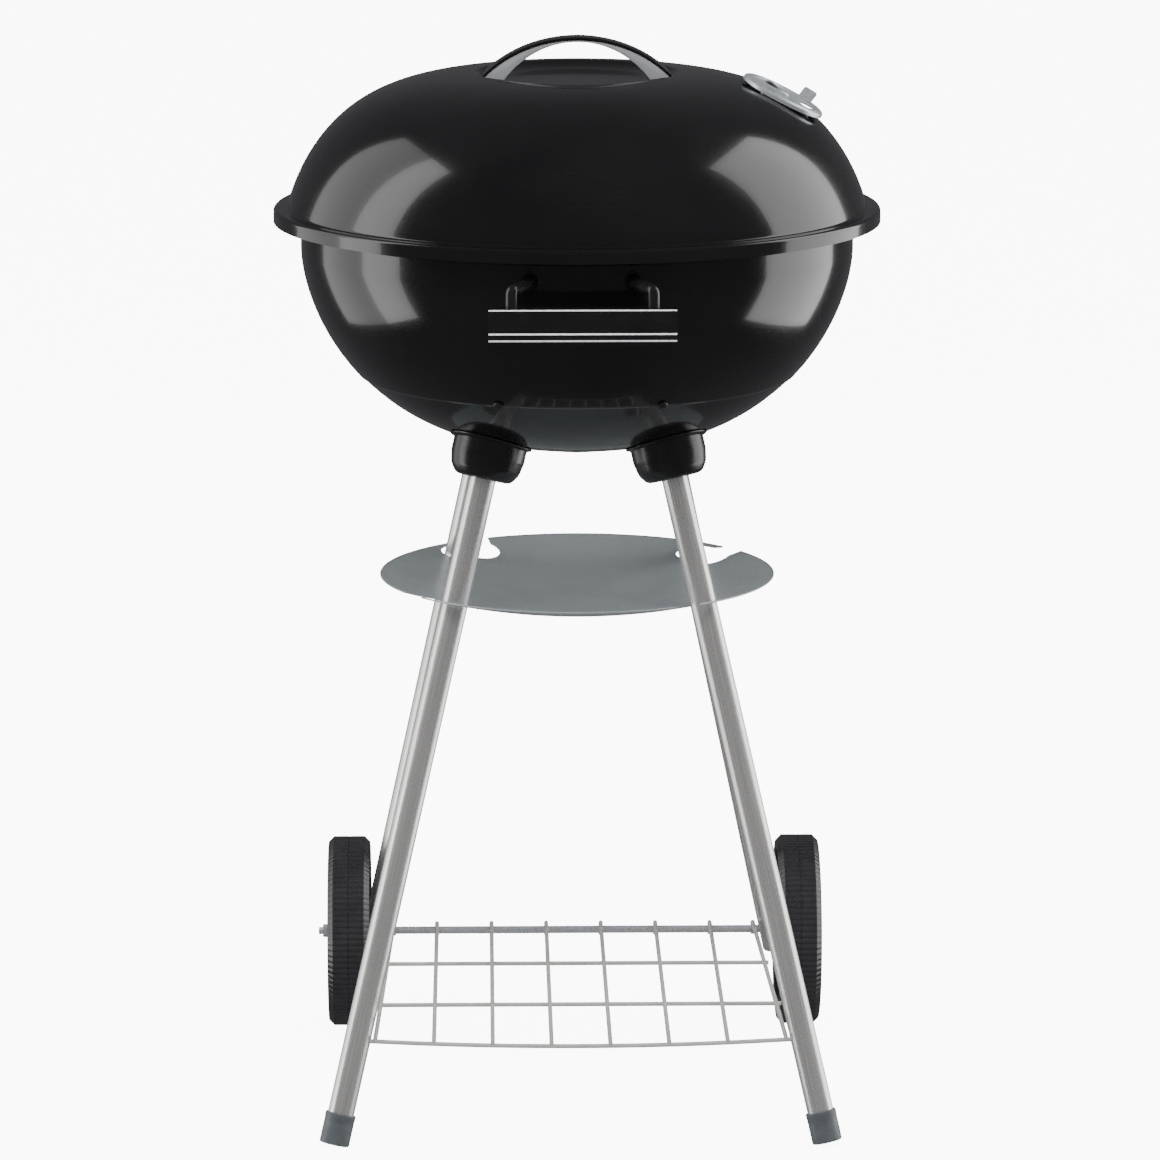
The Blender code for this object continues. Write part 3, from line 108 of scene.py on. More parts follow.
# ================================================================ surfaces
@dataclass
class Surface:
    """One or more closed surfaces as arrays: points, faces of four corners, and a flat map of the points."""

    points: np.ndarray
    faces: np.ndarray
    flat: np.ndarray

    @classmethod
    def from_grid(cls, points: np.ndarray, flat: np.ndarray | None = None) -> "Surface":
        """Joins each point of a grid to its neighbours.

        Args:
            points: Grid of shape (rows, columns, 3). A closed direction repeats its first line.
            flat: Grid of shape (rows, columns, 2); distances along the grid where left out.

        Returns:
            The surface, one face for each cell.
        """
        rows, columns = points.shape[:2]
        if flat is None:
            flat = np.stack([lengths_along(points, 0), lengths_along(points, 1)], axis=-1)
        index = np.arange(rows * columns).reshape(rows, columns)
        corners = [index[:-1, :-1], index[1:, :-1], index[1:, 1:], index[:-1, 1:]]
        faces = np.stack(corners, axis=-1).reshape(-1, 4)
        return cls(points.reshape(-1, 3), faces, flat.reshape(-1, 2))

    @classmethod
    def joined(cls, surfaces: "list[Surface]") -> "Surface":
        """Puts several surfaces in one piece."""
        starts = np.cumsum([0] + [len(one.points) for one in surfaces[:-1]])
        faces = [one.faces + start for one, start in zip(surfaces, starts)]
        points = np.concatenate([one.points for one in surfaces])
        return cls(points, np.concatenate(faces), np.concatenate([one.flat for one in surfaces]))

    def placed(self, matrix: Matrix) -> "Surface":
        """Moves and turns the surface by a 4 by 4 matrix."""
        turn = np.array(matrix.to_3x3())
        return Surface(self.points @ turn.T + np.array(matrix.translation), self.faces, self.flat)

    def made(self, name: str, crease: float = 38.0) -> bpy.types.Object:
        """Puts the surface into the scene as an object.

        Args:
            name: Name of the object.
            crease: Edges sharper than this many degrees are shaded as edges.

        Returns:
            The object, at the origin, its seams merged and its faces outwards.
        """
        mesh = bpy.data.meshes.new(name)
        mesh.from_pydata(self.points, [], self.faces)
        layer = mesh.uv_layers.new(name="flat")
        corner = np.empty(len(mesh.loops), dtype=np.int64)
        mesh.loops.foreach_get("vertex_index", corner)
        layer.data.foreach_set("uv", self.flat[corner].astype(np.float32).ravel())
        form = bmesh.new()
        form.from_mesh(mesh)
        bmesh.ops.remove_doubles(form, verts=form.verts, dist=2e-6)
        bmesh.ops.dissolve_degenerate(form, edges=form.edges, dist=1e-7)
        bmesh.ops.recalc_face_normals(form, faces=form.faces)
        form.to_mesh(mesh)
        form.free()
        shade(mesh, crease)
        piece = bpy.data.objects.new(name, mesh)
        bpy.context.scene.collection.objects.link(piece)
        return piece


def shade(mesh: bpy.types.Mesh, crease: float) -> None:
    """Shades a mesh smooth, with sharp edges over an angle in degrees."""
    mesh.shade_smooth()
    mesh.set_sharp_from_angle(angle=math.radians(crease))


def lengths_along(points: np.ndarray, axis: int) -> np.ndarray:
    """Distance from the start of each line of a grid, along one of its two directions."""
    steps = np.linalg.norm(np.diff(points, axis=axis), axis=-1)
    start = np.zeros_like(np.take(steps, [0], axis=axis))
    return np.cumsum(np.concatenate([start, steps], axis=axis), axis=axis)


def bored(piece: bpy.types.Object, tools: list[Surface], crease: float = 38.0) -> bpy.types.Object:
    """Cuts the space of some closed surfaces out of a piece, and keeps the result as its mesh.

    Args:
        piece: Object to cut.
        tools: Closed surfaces that don't meet each other.
        crease: Sharpness in degrees over which an edge is shaded as one.

    Returns:
        The same object.
    """
    tool = Surface.joined(tools).made(piece.name + "_tool")
    cut = piece.modifiers.new("bored", "BOOLEAN")
    cut.operation = "DIFFERENCE"
    cut.solver = "EXACT"
    cut.object = tool
    bpy.context.view_layer.update()
    view = piece.evaluated_get(bpy.context.evaluated_depsgraph_get())
    mesh = bpy.data.meshes.new_from_object(view)
    piece.modifiers.clear()
    piece.data = mesh
    mesh.name = piece.name
    bpy.data.objects.remove(tool, do_unlink=True)
    shade(mesh, crease)
    return piece


def resampled(line: np.ndarray, step: float) -> np.ndarray:
    """Points at even distances along a line, its two ends included."""
    length = lengths_along(line, 0)
    count = max(int(round(length[-1] / step)), 2)
    wanted = np.linspace(0.0, length[-1], count + 1)
    return np.stack([np.interp(wanted, length, line[:, axis]) for axis in range(line.shape[1])], axis=1)


def softened(line: np.ndarray, reach: float, step: float = 0.0004) -> np.ndarray:
    """Rounds the corners of a line.

    Each point becomes the mean of the points near it, weighted by a bell curve whose width is reach. The
    line is first continued past both ends by turning it half round them, so that the ends stay in place.

    Args:
        line: Points of shape (count, 2) or (count, 3).
        reach: Width of the bell curve.
        step: Distance between the points that are worked with.

    Returns:
        The rounded line, at even distances.
    """
    spaced = resampled(line, step)
    half = min(int(3 * reach / step) + 1, len(spaced) - 1)
    head = 2 * spaced[0] - spaced[half:0:-1]
    tail = 2 * spaced[-1] - spaced[-2:-half - 2:-1]
    longer = np.concatenate([head, spaced, tail])
    bell = np.exp(-0.5 * (np.arange(-half, half + 1) * step / reach) ** 2)
    bell /= bell.sum()
    smooth = [np.convolve(longer[:, axis], bell, mode="valid") for axis in range(line.shape[1])]
    return np.stack(smooth, axis=1)


def thinned(line: np.ndarray, bend: float = 1.6, longest: float = 0.008) -> np.ndarray:
    """Leaves out the points of a line where it is nearly straight.

    Args:
        line: Closely spaced points.
        bend: A point is kept each time the line has turned by this many degrees.
        longest: A point is kept at least this often along the line.

    Returns:
        The points that are kept, both ends among them.
    """
    run = np.diff(line, axis=0)
    length = np.linalg.norm(run, axis=1)
    way = run / np.maximum(length, 1e-12)[:, None]
    cosine = np.clip((way[:-1] * way[1:]).sum(axis=1), -1.0, 1.0)
    bent = np.concatenate([[0.0], np.cumsum(np.degrees(np.arccos(cosine))), [0.0]])
    bent[-1] = bent[-2]
    passed = bent / bend + np.concatenate([[0.0], np.cumsum(length)]) / longest
    kept = np.concatenate([[True], np.floor(passed[1:]) > np.floor(passed[:-1])])
    kept[-1] = True
    return line[kept]


def beside(line: np.ndarray, distance: float) -> np.ndarray:
    """Moves a flat line sideways, to its left as it runs, by a distance along its normals."""
    run = np.gradient(line, axis=0)
    run /= np.linalg.norm(run, axis=1, keepdims=True)
    return line + distance * np.stack([-run[:, 1], run[:, 0]], axis=1)


def arc(middle: tuple[float, float], radius: float, start: float, end: float, count: int = 24) -> np.ndarray:
    """Points on a circle between two angles in degrees."""
    angle = np.radians(np.linspace(start, end, count))
    return np.stack([middle[0] + radius * np.cos(angle), middle[1] + radius * np.sin(angle)], axis=1)


def polar(radius: float, angle: float) -> np.ndarray:
    """Point at a distance from zero, at an angle in degrees."""
    return arc((0.0, 0.0), radius, angle, angle, 1)[0]


def turned(profile: np.ndarray, steps: int, ripple: np.ndarray | None = None) -> Surface:
    """Turns a profile round Z: each point goes round a circle of its own radius at its own height.

    Args:
        profile: Radius and height of each point, shape (count, 2).
        steps: Steps round the circle.
        ripple: Change of radius and height for each angle and point, shape (steps + 1, count, 2).

    Returns:
        The surface. A closed profile repeats its first point; an open one starts and ends on the axis.
    """
    angle = np.linspace(0.0, 2 * np.pi, steps + 1)[:, None]
    shape = np.broadcast_to(profile, (steps + 1, *profile.shape))
    if ripple is not None:
        shape = shape + ripple
    radius, height = shape[..., 0], shape[..., 1]
    points = np.stack([radius * np.cos(angle), radius * np.sin(angle), height], axis=-1)
    around = angle * profile[:, 0].max()
    flat = np.stack(np.broadcast_arrays(around, lengths_along(profile, 0)[None, :]), axis=-1)
    return Surface.from_grid(points, flat)


def swept(path: np.ndarray, section: np.ndarray, up: tuple[float, float, float]) -> Surface:
    """Carries a closed outline along a path.

    At each point of the path the outline stands square to the path. Its first direction is the path's
    direction crossed with up, its second is square to both. The two ends are closed by the outline shrunk
    to the path.

    Args:
        path: Points of shape (count, 3).
        section: Outline of shape (corners, 2), or (count, corners, 2) where it changes along the path.
        up: Direction that the path never runs in.

    Returns:
        The closed surface.
    """
    section = np.broadcast_to(section, (len(path), *section.shape[-2:]))
    way = np.gradient(path, axis=0)
    way /= np.linalg.norm(way, axis=1, keepdims=True)
    side = np.cross(way, np.asarray(up, dtype=float))
    side /= np.linalg.norm(side, axis=1, keepdims=True)
    lift = np.cross(side, way)
    offset = section[..., :1] * side[:, None, :] + section[..., 1:] * lift[:, None, :]
    rings = path[:, None, :] + offset
    rings = np.concatenate([rings, rings[:, :1]], axis=1)
    ends = [np.broadcast_to(path[at], rings[:1].shape) for at in (0, -1)]
    return Surface.from_grid(np.concatenate([ends[0], rings, ends[1]]))


def disc_outline(radius: float, sides: int) -> np.ndarray:
    """Corners of a circle round zero."""
    angle = np.linspace(0.0, 2 * np.pi, sides, endpoint=False)
    return radius * np.stack([np.cos(angle), np.sin(angle)], axis=1)


def slab_outline(width: np.ndarray, height: np.ndarray, corner: float, steps: int = 4) -> np.ndarray:
    """Outline of a rectangle with round corners, for whole arrays of widths and heights.

    Each corner is a quarter circle whose middle stands one corner radius in from both sides.

    Args:
        width: Widths, shape (count,).
        height: Heights, shape (count,).
        corner: Radius of the corners; a thin rectangle gets a smaller one.
        steps: Steps round each corner.

    Returns:
        Outlines of shape (count, 4 * (steps + 1), 2).
    """
    width, height = np.broadcast_arrays(np.atleast_1d(width), np.atleast_1d(height))
    radius = np.minimum(corner, 0.45 * np.minimum(width, height))[:, None]
    quarter = np.linspace(0.0, np.pi / 2, steps + 1)
    angle = np.concatenate([quarter + turn * np.pi / 2 for turn in range(4)])[None, :]
    sign_x = np.repeat([1.0, -1.0, -1.0, 1.0], steps + 1)[None, :]
    sign_y = np.repeat([1.0, 1.0, -1.0, -1.0], steps + 1)[None, :]
    across = sign_x * (width[:, None] / 2 - radius) + radius * np.cos(angle)
    upward = sign_y * (height[:, None] / 2 - radius) + radius * np.sin(angle)
    return np.stack([across, upward], axis=-1)


def pin(radius: float, low: float, high: float, sides: int = 48) -> Surface:
    """Plain round pin on Z, for boring holes."""
    return turned(np.array([(0.0, low), (radius, low), (radius, high), (0.0, high)]), sides)


def along(start: np.ndarray | Vector, direction: np.ndarray | Vector) -> Matrix:
    """Matrix that puts a shape's Z along a direction."""
    turn = Vector(direction).to_track_quat("Z", "Y").to_matrix().to_4x4()
    return Matrix.Translation(Vector(start)) @ turn


def show(piece: bpy.types.Object, body: Body, finish: "Finish", slot: str, *nodes: str) -> bpy.types.Object:
    """Dresses a piece, puts it on its body and lets it stand for frame nodes.

    Args:
        piece: Finished object.
        body: Body that it moves with.
        finish: Its material.
        slot: Material slot of the record; not used.
        *nodes: Frame nodes that it stands for.

    Returns:
        The same object.
    """
    piece.data.materials.clear()
    piece.data.materials.append(finish.material())
    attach(piece, body.value)
    if nodes:
        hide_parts(*nodes)
    LOG.info(
        "%s: %d faces, stands for %s",
        piece.name,
        len(piece.data.polygons),
        ", ".join(nodes) or "nothing",
    )
    return piece


# ================================================================ finishes
class Layout(Enum):
    """Where a finish takes its pattern from."""

    SOLID = "Object"
    WRAPPED = "UV"


@dataclass(frozen=True)
class Grain:
    """A noise pattern, stretched along three directions.

    Attributes:
        scale: Repeats per metre along each direction.
        detail: Finer layers on top of the first.
        low: Value where the noise is weakest.
        high: Value where it is strongest.
    """

    scale: tuple[float, float, float]
    detail: float
    low: float
    high: float


@dataclass(frozen=True)
class Finish:
    """A surface finish: colour, gloss and relief, each varied by its own grain.

    Attributes:
        name: Name of the material.
        colour: Main colour, linear.
        second: Colour where the tone grain is strongest.
        metallic: 0 or 1, or between for a worn plating.
        tone: Grain that blends the two colours.
        gloss: Grain that sets the roughness.
        relief: Grain that lifts the surface, its values in metres.
        specular: Strength of the plain reflection.
        coat: Strength of a clear layer on top.
        coat_roughness: Roughness of that layer.
        layout: Where the grains take their place from.
    """

    name: str
    colour: tuple[float, float, float]
    second: tuple[float, float, float]
    metallic: float
    tone: Grain
    gloss: Grain
    relief: Grain
    specular: float = 0.5
    coat: float = 0.0
    coat_roughness: float = 0.05
    layout: Layout = Layout.SOLID

    def material(self) -> bpy.types.Material:
        """The material of this finish, made once."""
        known = bpy.data.materials.get(self.name)
        if known is not None:
            return known
        made = bpy.data.materials.new(self.name)
        made.use_nodes = True
        tree = made.node_tree
        shader = tree.nodes["Principled BSDF"]
        shader.inputs["Metallic"].default_value = self.metallic
        shader.inputs["Specular IOR Level"].default_value = self.specular
        shader.inputs["Coat Weight"].default_value = self.coat
        shader.inputs["Coat Roughness"].default_value = self.coat_roughness
        place = tree.nodes.new("ShaderNodeTexCoord")
        source = place.outputs[self.layout.value]

        blend = tree.nodes.new("ShaderNodeMix")
        blend.data_type = "RGBA"
        blend.inputs["A"].default_value = (*self.colour, 1.0)
        blend.inputs["B"].default_value = (*self.second, 1.0)
        tree.links.new(self._noise(tree, source, self.tone), blend.inputs["Factor"])
        tree.links.new(blend.outputs["Result"], shader.inputs["Base Color"])
        tree.links.new(self._noise(tree, source, self.gloss), shader.inputs["Roughness"])

        bump = tree.nodes.new("ShaderNodeBump")
        bump.inputs["Strength"].default_value = 1.0
        bump.inputs["Distance"].default_value = 1.0
        tree.links.new(self._noise(tree, source, self.relief), bump.inputs["Height"])
        tree.links.new(bump.outputs["Normal"], shader.inputs["Normal"])
        self._extra(tree, source, shader, blend)
        return made

    @staticmethod
    def _noise(tree: bpy.types.NodeTree, source: bpy.types.NodeSocket, grain: Grain) -> bpy.types.NodeSocket:
        """Noise of one grain, brought between its two values.

        Args:
            tree: Node tree of the material.
            source: Place on the piece.
            grain: Pattern to make.

        Returns:
            The socket that gives the value.
        """
        stretch = tree.nodes.new("ShaderNodeMapping")
        stretch.inputs["Scale"].default_value = grain.scale
        noise = tree.nodes.new("ShaderNodeTexNoise")
        noise.inputs["Scale"].default_value = 1.0
        noise.inputs["Detail"].default_value = grain.detail
        noise.inputs["Roughness"].default_value = 0.55
        spread = tree.nodes.new("ShaderNodeMapRange")
        spread.inputs["From Min"].default_value = 0.30
        spread.inputs["From Max"].default_value = 0.70
        spread.inputs["To Min"].default_value = grain.low
        spread.inputs["To Max"].default_value = grain.high
        tree.links.new(source, stretch.inputs["Vector"])
        tree.links.new(stretch.outputs["Vector"], noise.inputs["Vector"])
        tree.links.new(noise.outputs["Fac"], spread.inputs["Value"])
        return spread.outputs["Result"]

    @staticmethod
    def _cover(
        tree: bpy.types.NodeTree,
        shader: bpy.types.Node,
        blend: bpy.types.Node,
        colour: tuple[float, float, float],
        share: bpy.types.NodeSocket,
    ) -> None:
        """Lays a colour over the blended one.

        Args:
            tree: Node tree of the material.
            shader: Principled node that takes the result.
            blend: Node that gives the blended colour.
            colour: Colour to lay over it.
            share: How much of it covers, from 0 to 1.
        """
        over = tree.nodes.new("ShaderNodeMix")
        over.data_type = "RGBA"
        over.inputs["B"].default_value = (*colour, 1.0)
        tree.links.new(share, over.inputs["Factor"])
        tree.links.new(blend.outputs["Result"], over.inputs["A"])
        tree.links.new(over.outputs["Result"], shader.inputs["Base Color"])

    def _extra(
        self,
        tree: bpy.types.NodeTree,
        source: bpy.types.NodeSocket,
        shader: bpy.types.Node,
        blend: bpy.types.Node,
    ) -> None:
        """Marks of its own that a kind of finish adds; a plain one adds none."""


@dataclass(frozen=True)
class SootedFinish(Finish):
    """A metal that has been heated: dull blooms of soot and straw tint in patches.

    Attributes:
        bloom: Colour of the patches.
        patches: Patches per metre.
    """

    bloom: tuple[float, float, float] = (0.10, 0.085, 0.07)
    patches: float = 22.0

    def _extra(
        self,
        tree: bpy.types.NodeTree,
        source: bpy.types.NodeSocket,
        shader: bpy.types.Node,
        blend: bpy.types.Node,
    ) -> None:
        """Adds the patches over the blended colour."""
        spots = self._noise(tree, source, Grain((self.patches,) * 3, 3.0, -0.6, 0.7))
        self._cover(tree, shader, blend, self.bloom, spots)


@dataclass(frozen=True)
class FoldHighlightFinish(Finish):
    """Paint with painted highlights: bright lines along the folds of a sheet, standing in for light caught on
    its rounded folds.

    Attributes:
        folds: Distance of each fold across the sheet's outline, in metres.
        highlight_half_width: Half width of the painted highlight line.
        highlight_colour: Colour of the painted highlight.
    """

    folds: tuple[float, ...] = ()
    highlight_half_width: float = 0.0008
    highlight_colour: tuple[float, float, float] = (0.80, 0.80, 0.80)

    def _extra(
        self,
        tree: bpy.types.NodeTree,
        source: bpy.types.NodeSocket,
        shader: bpy.types.Node,
        blend: bpy.types.Node,
    ) -> None:
        """Blends the painted highlight colour over the paint where the flat map's second direction is near a
        fold.
        """
        across = tree.nodes.new("ShaderNodeSeparateXYZ")
        tree.links.new(source, across.inputs["Vector"])
        ragged = self._noise(tree, source, Grain((500.0, 120.0, 1.0), 3.0, -0.35, 0.35))
        total = None
        for fold in self.folds:
            near = tree.nodes.new("ShaderNodeMath")
            near.operation = "COMPARE"
            near.inputs[1].default_value = fold
            near.inputs[2].default_value = self.highlight_half_width
            tree.links.new(across.outputs["Y"], near.inputs[0])
            if total is None:
                total = near.outputs["Value"]
                continue
            both = tree.nodes.new("ShaderNodeMath")
            both.operation = "MAXIMUM"
            tree.links.new(total, both.inputs[0])
            tree.links.new(near.outputs["Value"], both.inputs[1])
            total = both.outputs["Value"]
        # Painted highlight: a bright colour laid over the paint along each fold, standing in for light caught
        # on the rounded folds; a noise makes the lines ragged.
        wear_and_highlight = tree.nodes.new("ShaderNodeMath")
        wear_and_highlight.operation = "MULTIPLY_ADD"
        wear_and_highlight.use_clamp = True
        tree.links.new(total, wear_and_highlight.inputs[0])
        tree.links.new(ragged, wear_and_highlight.inputs[1])
        tree.links.new(total, wear_and_highlight.inputs[2])
        self._cover(tree, shader, blend, self.highlight_colour, wear_and_highlight.outputs["Value"])


def even(scale: float, detail: float, low: float = 0.0, high: float = 1.0) -> Grain:
    """Grain with the same scale in all directions."""
    return Grain((scale, scale, scale), detail, low, high)


def drawn(across: float, lengthwise: float, detail: float, low: float = 0.0, high: float = 1.0) -> Grain:
    """Grain on a wrapped piece: fine across it and long along it."""
    return Grain((across, lengthwise, 1.0), detail, low, high)


ENAMEL = Finish(
    "black_enamel", (0.0035, 0.0035, 0.0040), (0.0060, 0.0060, 0.0065), 0.0,
    tone=even(9.0, 4.0), gloss=even(14.0, 4.0, 0.13, 0.19), relief=even(420.0, 2.0, 0.0, 0.000010),
    specular=0.42, coat=0.35, coat_roughness=0.045)
NYLON = Finish(
    "black_nylon", (0.0060, 0.0060, 0.0066), (0.0095, 0.0095, 0.0102), 0.0,
    tone=even(60.0, 3.0), gloss=even(90.0, 4.0, 0.20, 0.32), relief=even(1500.0, 2.0, 0.0, 0.000012))
GRIP_PAINT = Finish(
    "handle_black", (0.0045, 0.0045, 0.0050), (0.0080, 0.0080, 0.0085), 0.0,
    tone=even(40.0, 3.0), gloss=even(70.0, 3.0, 0.15, 0.22), relief=even(900.0, 2.0, 0.0, 0.000008),
    coat=0.25)
# Black grip paint with painted highlights along its folds, standing in for light on the rounded edges of the
# folded sheet.
GRIP_PAINT_WITH_FOLD_HIGHLIGHTS = FoldHighlightFinish(
    "folded_grip_paint", (0.0045, 0.0045, 0.0050), (0.0080, 0.0080, 0.0085), 0.0,
    tone=even(40.0, 3.0), gloss=even(70.0, 3.0, 0.15, 0.22), relief=even(900.0, 2.0, 0.0, 0.000008),
    coat=0.25, layout=Layout.WRAPPED, folds=(0.0134, 0.0321, 0.0378))
WHEEL_PLASTIC = Finish(
    "wheel_plastic", (0.0180, 0.0178, 0.0200), (0.0290, 0.0285, 0.0320), 0.0,
    tone=even(35.0, 4.0), gloss=even(50.0, 4.0, 0.24, 0.38), relief=even(1300.0, 2.0, 0.0, 0.000015),
    specular=0.55)
CAP_PLASTIC = Finish(
    "foot_cap_plastic", (0.062, 0.072, 0.078), (0.084, 0.096, 0.102), 0.0,
    tone=even(120.0, 4.0), gloss=even(160.0, 4.0, 0.42, 0.58), relief=even(1600.0, 3.0, 0.0, 0.000025))
CHROME = Finish(
    "crescent_chrome_finish", (0.90, 0.91, 0.93), (0.78, 0.79, 0.82), 0.70,
    tone=even(30.0, 2.0), gloss=even(60.0, 3.0, 0.05, 0.10), relief=even(120.0, 2.0, 0.0, 0.000020))
TUBE_STEEL = Finish(
    "leg_tube_finish", (0.84, 0.83, 0.81), (0.62, 0.61, 0.59), 0.80,
    tone=drawn(900.0, 9.0, 4.0), gloss=drawn(700.0, 7.0, 5.0, 0.20, 0.38),
    relief=drawn(2200.0, 22.0, 3.0, 0.0, 0.000012), layout=Layout.WRAPPED)
WIRE = Finish(
    "shelf_wire_plating", (0.74, 0.73, 0.71), (0.60, 0.59, 0.57), 0.45,
    tone=even(80.0, 3.0), gloss=even(160.0, 4.0, 0.16, 0.28), relief=even(900.0, 2.0, 0.0, 0.000010))
ZINC = Finish(
    "bright_zinc_finish", (0.66, 0.68, 0.70), (0.52, 0.54, 0.57), 0.55,
    tone=even(260.0, 4.0), gloss=even(300.0, 4.0, 0.24, 0.38), relief=even(900.0, 2.0, 0.0, 0.000005))
DAMPER_STEEL = Finish(
    "damper_sheet_finish", (0.56, 0.60, 0.62), (0.47, 0.51, 0.53), 0.70,
    tone=even(140.0, 4.0), gloss=even(200.0, 4.0, 0.26, 0.40), relief=even(1100.0, 3.0, 0.0, 0.000012))
BLACK_STEEL = Finish(
    "blackened_hardware", (0.020, 0.020, 0.022), (0.032, 0.032, 0.034), 0.6,
    tone=even(200.0, 3.0), gloss=even(260.0, 4.0, 0.30, 0.45), relief=even(1200.0, 3.0, 0.0, 0.000012))
ASH_PAINT = Finish(
    "ash_catcher_paint", (0.330, 0.365, 0.375), (0.295, 0.325, 0.335), 0.25,
    tone=even(16.0, 5.0), gloss=even(45.0, 4.0, 0.30, 0.38), relief=even(240.0, 2.0, 0.0, 0.000008))
BRACKET_STEEL = Finish(
    "inner_bracket_finish", (0.30, 0.31, 0.32), (0.20, 0.21, 0.22), 0.9,
    tone=even(150.0, 4.0), gloss=even(200.0, 4.0, 0.35, 0.55), relief=even(900.0, 3.0, 0.0, 0.00002))
GRATE_CHROME = SootedFinish(
    "cooking_grate_plating", (0.70, 0.70, 0.70), (0.60, 0.59, 0.57), 1.0,
    tone=even(60.0, 3.0), gloss=even(120.0, 4.0, 0.18, 0.34), relief=even(700.0, 2.0, 0.0, 0.00002),
    bloom=(0.42, 0.36, 0.28))
GRATE_STEEL = SootedFinish(
    "charcoal_grate_steel", (0.30, 0.29, 0.28), (0.20, 0.195, 0.19), 0.9,
    tone=even(70.0, 4.0), gloss=even(110.0, 4.0, 0.40, 0.62), relief=even(600.0, 3.0, 0.0, 0.00004))


# ================================================================ kettle curves
@dataclass(frozen=True)
class KettleCurve:
    """Half of a flattened oval in section: the lid's dome or the bowl.

    Attributes:
        radius: Widest radius.
        height: From the widest circle to the crown or bottom.
        across: Exponent across.
        down: Exponent up or down.
        level: Height of the widest circle.
        sign: 1 for a dome, -1 for a bowl.
    """

    radius: float
    height: float
    across: float
    down: float
    level: float
    sign: float

    def z(self, radius: np.ndarray | float) -> np.ndarray:
        """Height at a radius: the rest of the radius share to its power, brought back by the other power."""
        share = np.clip(np.asarray(radius) / self.radius, 0.0, 1.0) ** self.across
        return self.level + self.sign * self.height * (1.0 - share) ** (1.0 / self.down)

    def line(self, inner: float, drop: float, count: int = 220) -> np.ndarray:
        """Points from a radius out to the height that lies drop away from the widest circle.

        Args:
            inner: Radius of the first point.
            drop: Distance of the last point from the widest circle's height.
            count: Number of points.

        Returns:
            Radius and height, spaced by an angle that has the widest circle at zero.
        """
        low = math.asin((drop / self.height) ** (self.down / 2))
        high = math.acos((inner / self.radius) ** (self.across / 2))
        angle = np.linspace(high, low, count)
        radius = self.radius * np.cos(angle) ** (2 / self.across)
        return np.stack([radius, self.z(radius)], axis=1)


DOME = KettleCurve(0.2354, 0.1344, 4.169, 1.611, 0.6991, 1.0)
BOWL = KettleCurve(0.2203, 0.1595, 2.656, 1.698, 0.6929, -1.0)
BOWL_STEP = 0.0016


